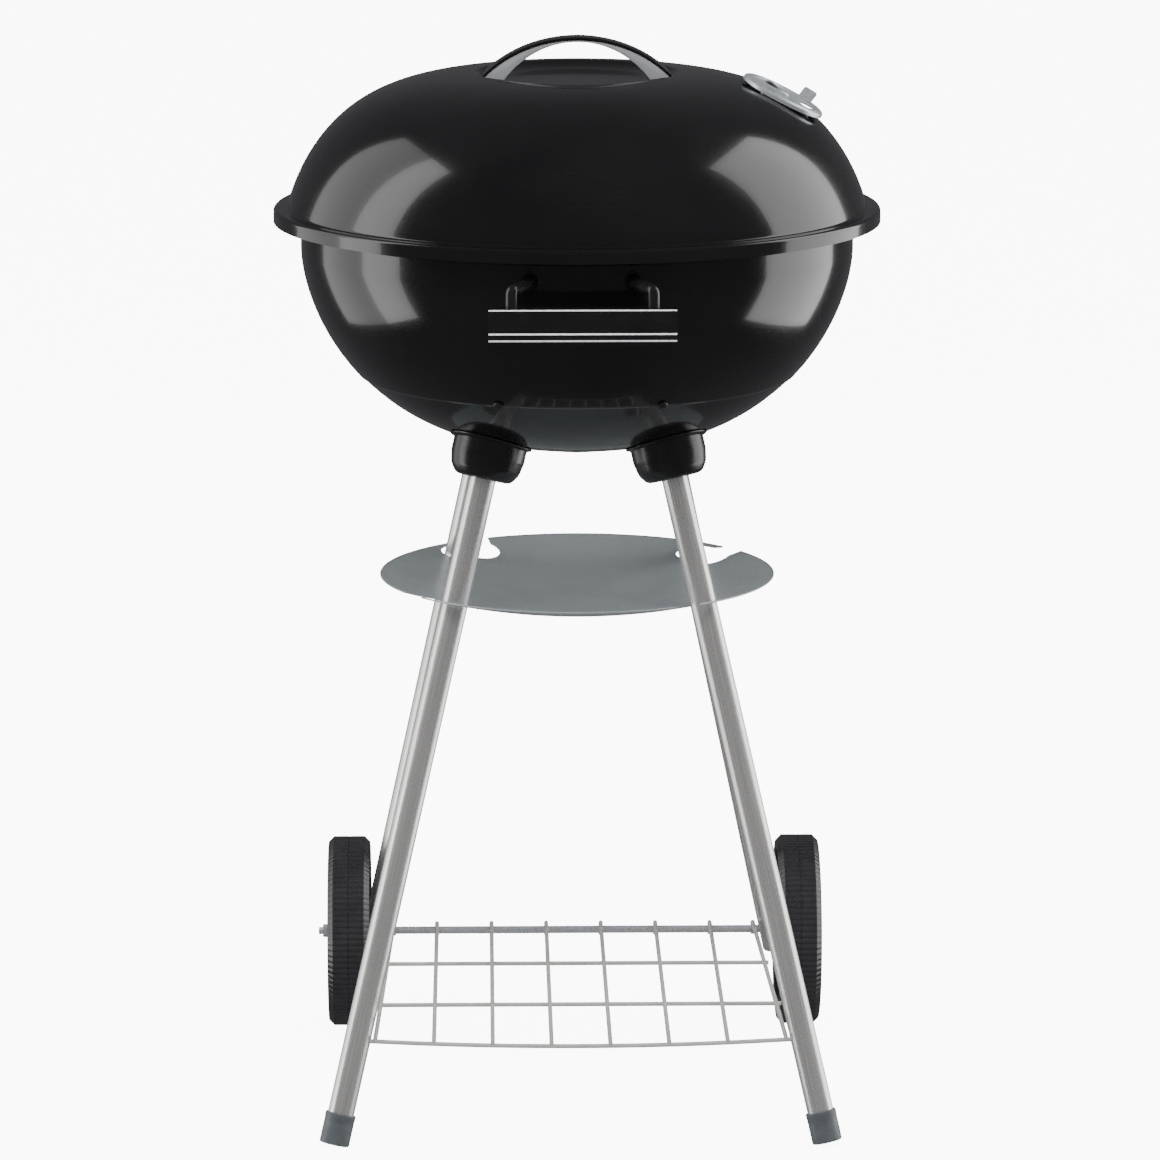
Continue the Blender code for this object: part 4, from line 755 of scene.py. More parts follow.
@dataclass
class Lid:
    """Lift-off lid with its handle and damper."""

    sheet: float = 0.0012
    ledge: float = 0.7258
    skirt_radius: float = 0.2420
    skirt_depth: float = 0.0110
    skirt_fillet: float = 0.0026
    sink: float = 0.0267
    dish_radius: float = 0.0805
    dish_depth: float = 0.0062
    dish_sharpness: float = 10.0
    arch_outer: tuple[float, float] = (0.1010, 0.0900)
    arch_inner: tuple[float, float] = (0.0750, 0.0830)
    arch_top: float = 0.0283
    arch_middle: float = 0.0040
    grip_thick: float = 0.0022
    grip_width: float = 0.0200
    bracket_width: float = 0.0180
    bolt_x: float = 0.0645
    bolt_radius: float = 0.0025
    damper_lift: float = 0.0009
    steps: int = 256

    def dish_z(self, radius: np.ndarray | float) -> np.ndarray:
        """Height of the round dish: its floor, and a rise with a high power of the radius share."""
        share = np.asarray(radius) / self.dish_radius
        return DOME.z(self.dish_radius) - self.dish_depth * (1.0 - share**self.dish_sharpness)

    def outside(self) -> np.ndarray:
        """Outer line of the lid from its middle to the skirt's edge, with its corners rounded."""
        dish = np.linspace(0.0, self.dish_radius, 120)[:-1]
        dish = np.stack([dish, self.dish_z(dish)], axis=1)
        dome = DOME.line(self.dish_radius, self.sink)
        corner = (self.skirt_radius - self.skirt_fillet, self.ledge - self.skirt_fillet)
        fold = arc(corner, self.skirt_fillet, 90.0, 0.0)
        edge = np.array([(self.skirt_radius, self.ledge - self.skirt_depth)])
        line = softened(np.concatenate([dish, dome, fold, edge]), 0.0010)
        line[:, 0] = np.maximum(line[:, 0], 0.0)
        return line

    def build(self) -> None:
        """Makes the shell, the handle and the damper."""
        self.build_shell()
        self.build_handle()
        self.build_damper()

    def build_shell(self) -> None:
        """Turns the lid's wall, and bores the vents and the holes of rivet and bolts."""
        outer = self.outside()
        inner = beside(outer, -self.sheet)
        inner[0, 0] = 0.0
        loop = np.concatenate([thinned(outer), thinned(inner)[::-1]])
        holes = Vent.bores(Vent.lid_place(), 0.02)
        for side in Side:
            spot = Matrix.Translation((side.value * self.bolt_x, 0.0, float(self.dish_z(self.bolt_x))))
            holes.append(pin(self.bolt_radius + GAP, -0.01, 0.01).placed(spot))
        shell = bored(turned(loop, self.steps).made("lid_dome"), holes)
        show(shell, Body.LID, ENAMEL, "kettle_enamel", "lid_shell")

    def arch(self, spans: tuple[float, float], top: float, count: int) -> np.ndarray:
        """Upper part of an ellipse, from where it meets the dish on the left to where it does on the right.

        Args:
            spans: Half width and half height of the ellipse.
            top: Height of its highest point.
            count: Number of points.

        Returns:
            X and Z of the points.
        """
        half, rise = spans
        angle = np.linspace(0.0, np.pi / 2, 4000)
        x = half * np.cos(angle)
        z = top - rise + rise * np.sin(angle)
        over = z - self.dish_z(np.minimum(x, self.dish_radius)) - GAP
        start = np.interp(0.0, over, angle)
        wanted = np.linspace(np.pi - start, start, count)
        return np.stack([half * np.cos(wanted), top - rise + rise * np.sin(wanted)], axis=1)

    def strap(self, outer: np.ndarray, inner: np.ndarray, width: float, corner: float) -> Surface:
        """Band between two lines in the plane of X and Z, with rounded edges.

        Each ring is a rounded rectangle: across it runs along Y, and its height runs from the inner line to
        the outer one.

        Args:
            outer: Upper line.
            inner: Lower line, point for point.
            width: Width along Y.
            corner: Radius of the edges.

        Returns:
            The closed surface.
        """
        run = outer - inner
        height = np.linalg.norm(run, axis=1)
        lift = run / height[:, None]
        middle = (outer + inner) / 2
        section = slab_outline(np.full(len(outer), width), height, corner)
        section = np.concatenate([section, section[:, :1]], axis=1)
        x = middle[:, :1] + section[..., 1] * lift[:, :1]
        z = middle[:, 1:] + section[..., 1] * lift[:, 1:]
        rings = np.stack([x, section[..., 0], z], axis=-1)
        centre = np.stack([middle[:, 0], np.zeros(len(middle)), middle[:, 1]], axis=1)
        ends = [np.broadcast_to(centre[at], rings[:1].shape) for at in (0, -1)]
        return Surface.from_grid(np.concatenate([ends[0], rings, ends[1]]))

    def build_handle(self) -> None:
        """Makes the chrome crescent and the black strap over it."""
        top = float(DOME.z(self.dish_radius)) + self.arch_top
        count = 121
        half, rise = self.arch_outer
        thick = self.grip_thick
        outer = self.arch((half, rise), top, count)
        inner = self.arch((half - thick, rise - thick), top - thick, count)
        grip = self.strap(outer, inner, self.grip_width, 0.0007).made("lid_handle_strap")
        show(grip, Body.LID, GRIP_PAINT, "black_plastic", "lid_handle_grip")
        under = thick + GAP
        outer = self.arch((half - under, rise - under), top - under, count)
        inner = self.arch(self.arch_inner, top - self.arch_middle, count)
        crescent = self.strap(outer, inner, self.bracket_width, 0.0009).made("lid_handle_crescent")
        show(crescent, Body.LID, CHROME, "handle_chrome", "lid_handle_bracket")

    def build_damper(self) -> None:
        """Makes the vent disc on the shoulder and its rivet."""
        disc = Vent(radius=0.0350, lip=0.0020, rim=0.0016, tab=(0.0130, 0.0100), tab_turn=62.0, lean=68.0)
        place = Vent.lid_place() @ Matrix.Translation((0.0, 0.0, self.damper_lift))
        show(disc.made("lid_vent_plate", place), Body.LID_VENT, DAMPER_STEEL, "damper_steel", "lid_damper")
        head = place @ Matrix.Translation((0.0, 0.0, disc.sheet + GAP))
        rivet = Fastener(head=0.0043, rise=0.0018, shank=0.0020, length=0.0045, tail=0.0042)
        show(rivet.made("lid_vent_rivet", head), Body.LID, ZINC, "zinc_hardware", "lid_damper_rivet")


@dataclass
class Fastener:
    """Rivet, screw or bolt with a domed head on z = 0 and its shank below."""

    head: float
    rise: float
    shank: float
    length: float
    tail: float = 0.0
    tail_rise: float = 0.0012

    def profile(self) -> np.ndarray:
        """Half section from the top of the head to the end of the shank or the second head."""
        angle = np.linspace(np.pi / 2, 0.10, 14)
        dome = np.stack([self.head * np.cos(angle), self.rise * np.sin(angle)], axis=1)
        rest = [(self.head, 0.0), (self.shank, 0.0), (self.shank, -self.length)]
        if self.tail:
            low = -self.length - self.tail_rise
            rest += [(self.tail, -self.length), (self.tail * 0.8, low), (0.0, low)]
        else:
            rest += [(0.0, -self.length)]
        dome[0, 0] = 0.0
        return np.concatenate([dome, np.array(rest)])

    def made(self, name: str, place: Matrix) -> bpy.types.Object:
        """The fastener as an object, at a matrix."""
        return turned(self.profile(), 40).placed(place).made(name)


@dataclass
class Vent:
    """Vent disc with three round holes, a pressed rim and a tab to turn it by."""

    radius: float
    lip: float
    rim: float
    tab: tuple[float, float]
    tab_turn: float
    lean: float
    sheet: float = 0.0010

    @staticmethod
    def bores(seat: Matrix, half: float) -> list[Surface]:
        """Cutters of the three round holes and of the rivet's hole.

        Args:
            seat: Place of the disc.
            half: How far the cutters reach up and down.

        Returns:
            Four pins.
        """
        holes = []
        for index in range(3):
            angle = 2 * math.pi * index / 3
            spot = Matrix.Translation((VENT_CIRCLE * math.cos(angle), VENT_CIRCLE * math.sin(angle), 0.0))
            holes.append(pin(VENT_HOLE, -half, half).placed(seat @ spot))
        return [*holes, pin(RIVET_HOLE, -half, half).placed(seat)]

    @staticmethod
    def lid_place() -> Matrix:
        """Seat of the lid's disc: on the dome, Z along its normal and X away from the crown."""
        distance, near = LID_VENT_DISTANCE, 0.0005
        slope = float(DOME.z(distance + near) - DOME.z(distance - near)) / (2 * near)
        round_lid = Matrix.Rotation(math.radians(LID_VENT_TURN), 4, "Z")
        spot = Matrix.Translation((distance, 0.0, float(DOME.z(distance))))
        return round_lid @ spot @ Matrix.Rotation(math.atan(-slope), 4, "Y")

    def made(self, name: str, place: Matrix) -> bpy.types.Object:
        """Turns the disc, bores its holes and adds the bent tab.

        Args:
            name: Name of the object.
            place: Seat of the disc's underside.

        Returns:
            The object.
        """
        edge = self.radius
        top = self.sheet
        line = [(0.0, top), (edge - 0.0090, top), (edge - 0.0066, top + self.rim)]
        line += [(edge - 0.0030, top + self.rim), (edge - 0.0002, top), (edge - 0.0002, -self.lip)]
        outer = softened(np.array(line), 0.0006, 0.0002)
        outer[:, 0] = np.maximum(outer[:, 0], 0.0)
        inner = beside(outer, -self.sheet)
        inner[0, 0] = 0.0
        loop = np.concatenate([thinned(outer, 4.0), thinned(inner, 4.0)[::-1]])
        disc = bored(turned(loop, 128).placed(place).made(name), self.bores(place, 0.01))
        width, height = self.tab
        lean = math.radians(self.lean)
        fold, level = edge + 0.0018, 0.0004
        tip = (fold + height * math.cos(lean), 0.0, level + height * math.sin(lean))
        bend = np.array([(edge - 0.0016, 0.0, level), (fold, 0.0, level), tip])
        path = softened(bend, 0.0007, 0.0002)[::3]
        turn = Matrix.Rotation(math.radians(self.tab_turn), 4, "Z")
        blade = self.side_on(path, width).placed(place @ turn).made(name + "_tab")
        return merged(disc, blade)

    def side_on(self, path: np.ndarray, width: float) -> Surface:
        """Strip of the sheet's thickness along a path in the plane of X and Z, as wide as given along Y.

        The width draws in near the end of the path as a quarter circle does, which rounds the strip's
        outer corners.

        Args:
            path: Middle line of the strip.
            width: Full width.

        Returns:
            The closed strip.
        """
        left = np.linalg.norm(np.diff(path, axis=0), axis=1)[::-1].cumsum()[::-1]
        left = np.append(left, 0.0)
        share = np.sqrt(1.0 - (1.0 - np.clip(left / TAB_ROUND, 0.0, 1.0)) ** 2)
        wide = width - TAB_NARROWING * (1.0 - share)
        section = slab_outline(wide, np.full(len(path), self.sheet), 0.0004)
        return swept(path, section[..., ::-1], (0.0, 1.0, 0.0))


def merged(first: bpy.types.Object, second: bpy.types.Object) -> bpy.types.Object:
    """Puts the mesh of a second object into the first, and removes the second."""
    form = bmesh.new()
    form.from_mesh(first.data)
    form.from_mesh(second.data)
    form.to_mesh(first.data)
    form.free()
    bpy.data.objects.remove(second, do_unlink=True)
    return first


@dataclass
class Bowl:
    """Bowl with a rolled rim, a pressed step low down, vents and the hardware on its side."""

    sheet: float = 0.0012
    rim_z: float = 0.7188
    rim_r: float = 0.2340
    roll: float = 0.0055
    fillet: float = 0.0030
    step: float = BOWL_STEP
    step_depth: float = 0.1010
    steps: int = 256
    bracket_bolt_x: float = 0.0635
    bracket_bolt_drop: float = 0.1000

    def wall(self) -> np.ndarray:
        """Outer line from the widest circle to the middle of the bottom, with the step pressed in."""
        depth = np.linspace(0.0, self.step_depth, 90)
        share = (depth / BOWL.height) ** BOWL.down
        upper = np.stack([BOWL.radius * (1.0 - share) ** (1.0 / BOWL.across), BOWL.level - depth], axis=1)
        start = upper[-1, 0] - self.step
        radius = np.linspace(start, 0.0, 160)
        lower = np.stack([radius, BOWL.z(radius + self.step)], axis=1)
        lower[:, 1] -= self.step * 0.4 * (radius / start) ** 30
        return np.concatenate([upper, lower])

    def outside(self) -> np.ndarray:
        """Line of the bowl from inside its rolled rim, over the flange and down to the bottom."""
        curl = self.roll - self.sheet
        rim = arc((self.rim_r, self.rim_z), curl, -165.0, 90.0, 60)
        corner = arc((BOWL.radius + self.fillet, self.rim_z + curl - self.fillet), self.fillet, 90.0, 180.0)
        line = softened(np.concatenate([rim, corner, self.wall()]), 0.0007)
        line[:, 0] = np.maximum(line[:, 0], 0.0)
        return line

    def build(self) -> None:
        """Makes the bowl, its vent disc and rivet, and the bolts of the inner brackets."""
        outer = self.outside()
        inner = beside(outer, -self.sheet)
        inner[-1, 0] = 0.0
        outer[-1, 0] = 0.0
        loop = np.concatenate([thinned(outer)[::-1], thinned(inner), thinned(outer)[::-1][-1:]])
        bottom = BOWL.level - BOWL.height
        base = Matrix.Translation((0.0, 0.0, bottom))
        shell = bored(turned(loop, self.steps).made("kettle_bowl"), Vent.bores(base, 0.01))
        show(shell, Body.STAND, ENAMEL, "kettle_enamel", "bowl_shell")

        below = Matrix.Translation((0.0, 0.0, bottom - 2 * GAP)) @ Matrix.Rotation(math.pi, 4, "X")
        disc = Vent(radius=0.0370, lip=0.0, rim=0.0006, tab=(0.0140, 0.0110), tab_turn=-90.0, lean=80.0)
        plate = disc.made("bottom_vent_plate", below)
        show(plate, Body.BOTTOM_VENT, DAMPER_STEEL, "damper_steel", "bottom_damper")
        head = below @ Matrix.Translation((0.0, 0.0, disc.sheet + GAP))
        rivet = Fastener(head=0.0040, rise=0.0016, shank=0.0020, length=0.0034, tail=0.0040)
        show(rivet.made("bottom_vent_rivet", head), Body.STAND, ZINC, "zinc_hardware", "bottom_damper_rivet")
        self.build_bolts()

    def build_bolts(self) -> None:
        """Round-headed bolts through the bowl's side, square to its surface."""
        drop = self.bracket_bolt_drop
        share = (np.array([drop, drop - 0.002, drop + 0.002]) / BOWL.height) ** BOWL.down
        radius = BOWL.radius * (1.0 - share) ** (1.0 / BOWL.across)
        lean = math.atan(float(radius[1] - radius[2]) / 0.004)
        wall = float(radius[0])
        for end in End:
            for side in Side:
                x = side.value * self.bracket_bolt_x
                heading = math.atan2(end.value * math.sqrt(wall**2 - x**2), x)
                spot = Matrix.Translation((wall, 0.0, BOWL.level - drop)) @ Matrix.Rotation(lean, 4, "Y")
                place = Matrix.Rotation(heading, 4, "Z") @ spot @ Matrix.Rotation(math.pi / 2, 4, "Y")
                place = place @ Matrix.Translation((0.0, 0.0, 2 * GAP))
                where = f"{end.name.lower()}_{side.name.lower()}"
                bolt = Fastener(head=0.0042, rise=0.0024, shank=0.0021, length=0.0080)
                made = bolt.made(f"bracket_bolt_{where}", place)
                show(made, Body.STAND, BLACK_STEEL, "zinc_hardware", f"charcoal_bracket_bolt_{where}")


@dataclass
class FrontHandle:
    """Folded-sheet grip on two arms."""

    length: float = 0.1430
    top: float = 0.6830
    height: float = 0.0245
    front: float = 0.2630
    hem: float = 0.0025
    depth: float = 0.0140
    sheet: float = 0.0015
    arm_radius: float = 0.0045
    arm_root_x: float = 0.0400
    arm_tip_x: float = 0.0540
    arm_z: float = 0.6970

    def build(self) -> None:
        """Makes the grip and its arms."""
        self.build_grip()
        for side in Side:
            self.build_arm(side)

    def build_grip(self) -> None:
        """Carries the folded section along X: top flange, front, hem that stands out, bottom flange."""
        half = self.sheet / 2
        face = -(self.front - self.hem) + half
        hem = -self.front + half
        back = face - half + self.depth
        low = self.top - self.height
        fold = [(back, self.top - half), (face, self.top - half), (face, low + 0.0066), (hem, low + 0.0044)]
        fold += [(hem, low + half), (back, low + half)]
        line = thinned(softened(np.array(fold), 0.00055, 0.0001), 8.0, 0.004)
        outline = np.concatenate([beside(line, -half), beside(line, half)[::-1]])
        outline = np.concatenate([outline, outline[:1]])
        stations = np.linspace(-self.length / 2, self.length / 2, 9)
        rings = np.empty((len(stations), len(outline), 3))
        rings[..., 0] = stations[:, None]
        rings[..., 1:] = outline[None]
        middle = np.concatenate([line, line[::-1], line[:1]])
        ends = []
        for at in (0, -1):
            cap = rings[at].copy()
            cap[:, 1:] = middle
            ends.append(cap[None])
        grip = Surface.from_grid(np.concatenate([ends[0], rings, ends[1]])).made("front_grip_channel", 30.0)
        edges = grip.modifiers.new("edges", "BEVEL")
        edges.width = 0.0004
        edges.segments = 3
        edges.limit_method = "ANGLE"
        edges.angle_limit = math.radians(50)
        # The grip's paint carries painted highlights along its folds.
        show(grip, Body.STAND, GRIP_PAINT_WITH_FOLD_HIGHLIGHTS, "black_plastic", "front_handle_grip")

    def build_arm(self, side: Side) -> None:
        """Carries a circle from the bowl's wall out to the grip and down into it, flaring at the wall."""
        wall = -math.sqrt(BOWL.radius**2 - self.arm_root_x**2)
        end_y = -(self.front - self.hem) + self.depth / 2
        run = self.arm_tip_x - self.arm_root_x
        path = [(self.arm_root_x, wall, self.arm_z), (self.arm_root_x, wall - 0.009, self.arm_z)]
        path += [(self.arm_root_x + run * 0.35, wall - 0.020, self.arm_z + 0.0006)]
        path += [(self.arm_tip_x, end_y, self.arm_z), (self.arm_tip_x, end_y, self.top + GAP)]
        path = np.array(path) * np.array([side.value, 1.0, 1.0])
        path = softened(path, 0.0024, 0.0003)[::3]
        gone = np.linalg.norm(path - path[0], axis=1)
        radius = self.arm_radius * (1.0 + 0.45 * np.exp(-((gone / 0.0045) ** 2)))
        section = disc_outline(1.0, 32)[None] * radius[:, None, None]
        arm = swept(path, section, (side.value, 0.35, 0.1)).made(f"front_arm_{side.name.lower()}")
        show(arm, Body.STAND, NYLON, "black_plastic", f"front_handle_arm_{side.name.lower()}")


@dataclass
class Leg:
    """One splayed tube with the socket that holds it."""

    side: Side
    end: End
    radius: float = 0.0105
    wall: float = 0.0010
    top: tuple[float, float, float] = (0.0772, 0.0830, 0.5140)
    front_foot: tuple[float, float] = (0.1960, 0.1800)
    axle: tuple[float, float, float] = (0.1680, 0.1830, 0.0800)
    tail: float = 0.0160
    socket_radius: float = 0.0295
    socket_end: float = 0.0190
    socket_length: float = 0.0290
    socket_grip: float = 0.0190
    flange: float = 0.0330
    cap_wall: float = 0.0012
    cap_length: float = 0.0250
    cap_floor: float = 0.0040
    wear_and_highlight: float = 0.0015

    @property
    def where(self) -> str:
        """Corner of the grill, as the frame names it."""
        return f"{self.end.name.lower()}_{self.side.name.lower()}"

    @property
    def start(self) -> np.ndarray:
        """Point of the axis at the socket's height."""
        return np.array([self.side.value * self.top[0], self.end.value * self.top[1], self.top[2]])

    @property
    def foot(self) -> np.ndarray:
        """Lowest point of the axis: the ground in front, below the axle behind."""
        if self.end is End.FRONT:
            return np.array([self.side.value * self.front_foot[0], -self.front_foot[1], 0.0])
        axle = np.array([self.side.value * self.axle[0], self.axle[1], self.axle[2]])
        run = axle - self.start
        return axle + run * (self.tail / -run[2])

    @property
    def upwards(self) -> np.ndarray:
        """Unit vector up along the leg."""
        run = self.start - self.foot
        return run / np.linalg.norm(run)

    def at(self, height: float) -> np.ndarray:
        """Point of the axis at a height."""
        run = self.foot - self.start
        return self.start + run * ((height - self.start[2]) / run[2])

    def reach(self, points: np.ndarray, space: float) -> np.ndarray:
        """Distance from each point, up along the leg, to a surface outside the bowl.

        The distance is halved in again and again between points outside and inside the bowl.

        Args:
            points: Starting points, shape (..., 3).
            space: Distance kept from the bowl, measured straight down.

        Returns:
            The distances, shape (...).
        """
        low = np.full(points.shape[:-1], -0.05)
        high = np.full(points.shape[:-1], 0.09)
        for _ in range(34):
            middle = (low + high) / 2
            spot = points + middle[..., None] * self.upwards
            inside = spot[..., 2] > BOWL.z(np.hypot(spot[..., 0], spot[..., 1]) + BOWL_STEP) - space
            low, high = np.where(inside, low, middle), np.where(inside, middle, high)
        return low

    def build(self) -> None:
        """Makes the socket, the tube and, in front, the foot cap."""
        contact = self.start + float(self.reach(self.start[None], 0.0)[0]) * self.upwards
        frame = np.array(along(contact, self.upwards))
        self.build_socket(frame)
        self.build_tube(frame)

    def build_socket(self, frame: np.ndarray) -> None:
        """Turns the cup's profile about the leg, with every ring near the bowl brought up to the bowl.

        Rings have a radius and a height. Those of the cup keep their height above the cup's mouth; those of
        the flange are measured from the bowl's surface over the same point.

        Args:
            frame: Matrix at the point where the leg's axis meets the bowl.
        """
        bottom = -self.socket_length
        bore = self.radius + GAP
        cup = [(0.0, bottom + self.socket_grip), (bore, bottom + self.socket_grip), (bore, bottom)]
        shell = [(bore + 0.0012, bottom), (self.socket_end, bottom)]
        shell += [(self.socket_end + 0.0038, bottom + 0.0012), (self.socket_radius - 0.0020, bottom + 0.0080)]
        shell += [(self.socket_radius, bottom + 0.0185)]
        shell = thinned(softened(np.array(shell), 0.0016, 0.0003), 5.0, 0.004)
        cup = np.concatenate([np.array(cup), shell])
        rim = [(self.socket_radius, -0.0024), (self.socket_radius + 0.0012, -0.0017)]
        rim += [(self.flange - 0.0006, -0.0015), (self.flange, -0.0010)]
        rim += [(self.flange, -0.0004), (self.flange - 0.0004, 0.0)]
        rim += [(self.flange * share, 0.0) for share in (0.8, 0.5, 0.0)]
        rim = np.array(rim)
        angle = np.linspace(0.0, 2 * np.pi, 129)
        radius = np.concatenate([cup[:, 0], rim[:, 0]])
        first, second, axis = frame[:3, 0], frame[:3, 1], frame[:3, 2]
        ring = np.cos(angle)[:, None] * first + np.sin(angle)[:, None] * second
        base = frame[:3, 3] + radius[None, :, None] * ring[:, None, :]
        over = self.reach(base[:, len(cup):], GAP / 0.9) + rim[:, 1]
        height = np.concatenate([np.broadcast_to(cup[:, 1], (len(angle), len(cup))), over], axis=1)
        height[:, len(cup) - 1] = np.minimum(height[:, len(cup) - 1], over[:, 0] - 0.0005)
        points = base + height[..., None] * axis
        socket = Surface.from_grid(points).made(f"leg_cup_{self.where}", 50.0)
        show(socket, Body.STAND, NYLON, "black_plastic", f"leg_socket_{self.where}")

    def build_tube(self, frame: np.ndarray) -> None:
        """Turns the tube's wall about its axis: open below, closed above.

        Args:
            frame: Matrix at the point where the leg's axis meets the bowl.
        """
        end = self.foot
        if self.end is End.FRONT:
            lean = math.acos(self.upwards[2])
            cap_radius = self.radius + GAP + self.cap_wall
            corner = cap_radius * math.sin(lean) - self.wear_and_highlight
            end = end + self.upwards * (corner / math.cos(lean) + self.cap_floor + GAP)
        length = float((frame[:3, 3] - end) @ self.upwards) - self.socket_length + self.socket_grip
        inner = self.radius - self.wall
        line = [(0.0, length), (self.radius - 0.0004, length), (self.radius, length - 0.0004)]
        line += [(self.radius, length * share) for share in (0.75, 0.5, 0.25)]
        line += [(self.radius, 0.0003), (self.radius - 0.0003, 0.0), (inner + 0.0002, 0.0), (inner, 0.0003)]
        line += [(inner, length - 0.004), (0.0, length - 0.004)]
        tube = turned(np.array(line), 96).placed(along(end, self.upwards)).made(f"leg_tube_{self.where}")
        show(tube, Body.STAND, TUBE_STEEL, "leg_steel", f"leg_{self.where}")
        if self.end is End.FRONT:
            self.build_cap(end)

    def build_cap(self, tube_end: np.ndarray) -> None:
        """Turns the cup over the tube's end and flattens what would lie below the ground.

        Args:
            tube_end: Middle of the tube's lower end.
        """
        outer = self.radius + GAP + self.cap_wall
        floor = -GAP - self.cap_floor
        mouth = floor + self.cap_length
        line = [(0.0, floor), (outer - 0.0008, floor), (outer - 0.0002, floor + 0.0003)]
        line += [(outer, floor + 0.0009)]
        line += [(outer, floor + share * self.cap_length) for share in (0.3, 0.6, 0.82)]
        line += [(outer + 0.0002, floor + 0.84 * self.cap_length), (outer + 0.0002, mouth - 0.0006)]
        line += [(outer - 0.0004, mouth), (self.radius + GAP, mouth)]
        line += [(self.radius + GAP, -GAP), (0.0, -GAP)]
        cap = turned(np.array(line), 96).placed(along(tube_end, self.upwards))
        cap.points[:, 2] = np.maximum(cap.points[:, 2], 0.0)
        name = self.side.name.lower()
        show(cap.made(f"foot_cup_{name}"), Body.STAND, CAP_PLASTIC, "cap_plastic", f"foot_cap_{name}")


@dataclass
class Running:
    """Two ribbed wheels on their axle, with washers, head and nut."""

    radius: float = 0.0800
    width: float = 0.0350
    shoulder: float = 0.0045
    tread: float = 0.0120
    x: float = 0.1893
    y: float = 0.1830
    axle: float = 0.0032
    play: float = 0.0005
    web: tuple[float, float] = (-0.0010, 0.0040)
    hub: tuple[float, float] = (-0.0060, 0.0172)
    hub_radius: float = 0.0160
    ribs: int = 100
    rib_depth: float = 0.0009
    spokes: int = 10
    nut_flats: float = 0.0100
    nut_thick: float = 0.0050
    tip: float = 0.0036
    head: tuple[float, float] = (0.0048, 0.0034)
    washer: tuple[float, float] = (0.0070, 0.0020)
    thread: tuple[float, float] = (0.0010, 0.00022)
    spoke_rise: float = 0.0025

    def build(self) -> None:
        """Makes wheels, washers, axle and nut."""
        for side in Side:
            self.build_wheel(side)
            self.build_washer(side)
        self.build_axle()

    def seat(self, side: Side, distance: float) -> Matrix:
        """Matrix on the axle at a distance from the middle, Z outwards."""
        return along((side.value * distance, self.y, self.radius), (side.value, 0.0, 0.0))

    def wheel_profile(self) -> np.ndarray:
        """Closed half section of a wheel, radius against distance outwards from its middle."""
        half = self.width / 2
        inner = self.radius - self.tread
        bore = self.axle + self.play
        cut = self.shoulder
        line = [(bore, self.hub[0]), (bore, self.hub[1] - 0.0004), (bore + 0.0004, self.hub[1])]
        line += [(self.hub_radius - 0.0010, self.hub[1]), (self.hub_radius, self.hub[1] - 0.0010)]
        line += [(self.hub_radius, self.web[1] + 0.001), (self.hub_radius + 0.001, self.web[1])]
        line += [(share, self.web[1]) for share in np.linspace(self.hub_radius + 0.003, inner - 0.003, 7)]
        line += [(inner - 0.001, self.web[1]), (inner, self.web[1] + 0.001), (inner + 0.0003, half - 0.0008)]
        line += [(inner + 0.0010, half)]
        outside = [(self.radius - cut, half), (self.radius, half - cut)]
        outside += [(self.radius, share) for share in np.linspace(half - cut - 0.001, 0.0009, 4)]
        outside += [(self.radius, 0.0005), (self.radius - 0.0005, 0.0001)]
        line += outside + [(radius, -z) for radius, z in outside[::-1]]
        line += [(inner + 0.0010, -half), (inner, -half + 0.0008), (inner, self.web[0] - 0.001)]
        line += [(inner - 0.001, self.web[0]), (self.hub_radius + 0.001, self.web[0])]
        line += [(self.hub_radius, self.web[0] - 0.001), (self.hub_radius, self.hub[0] + 0.0005)]
        line += [(self.hub_radius - 0.0005, self.hub[0]), (bore, self.hub[0])]
        return np.array(line)

    def build_wheel(self, side: Side) -> None:
        """Turns the profile with ribs across the tread and spokes raised on the web.

        Round the tread the radius drops by a rib's depth wherever a wave of one period per rib is low, and
        the drop fades out over the shoulder. On the web the outer face rises by a smooth bump at each spoke.

        Args:
            side: Wheel to make.
        """
        profile = self.wheel_profile()
        steps = self.ribs * 8
        angle = np.linspace(0.0, 2 * np.pi, steps + 1)[:, None]
        radius, height = profile[:, 0], profile[:, 1]
        edge = np.clip((radius - (self.radius - self.shoulder - 0.0004)) / (self.shoulder * 0.6), 0.0, 1.0)
        wave = 0.5 - 0.5 * np.cos(self.ribs * angle)
        drop = -self.rib_depth * np.clip(1.6 * wave - 0.7, 0.0, 1.0) * edge
        onweb = (np.abs(height - self.web[1]) < 1e-6) & (radius > self.hub_radius + 0.002)
        onweb &= radius < self.radius - self.tread - 0.002
        spoke = np.clip(6.0 * (0.5 + 0.5 * np.cos(self.spokes * angle)) - 4.9, 0.0, 1.0)
        ripple = np.stack([drop, self.spoke_rise * spoke * onweb], axis=-1)
        wheel = turned(profile, steps, ripple).placed(self.seat(side, self.x))
        wheel = wheel.made(f"ribbed_wheel_{side.name.lower()}")
        body = Body.WHEEL_LEFT if side is Side.LEFT else Body.WHEEL_RIGHT
        show(wheel, body, WHEEL_PLASTIC, "black_plastic", body.value)

    def build_washer(self, side: Side) -> None:
        """Turns a flat ring with broken edges."""
        bore = self.axle + self.play
        rim, thick = self.washer
        edge = 0.0003
        line = [(bore, 0.0), (rim - edge, 0.0), (rim, -edge), (rim, -thick + edge), (rim - edge, -thick)]
        line += [(bore, -thick), (bore, 0.0)]
        place = self.seat(side, self.x + self.hub[0] - 2 * GAP)
        washer = turned(np.array(line), 64).placed(place).made(f"spacer_{side.name.lower()}")
        show(washer, Body.STAND, ZINC, "zinc_hardware", f"axle_washer_{side.name.lower()}")

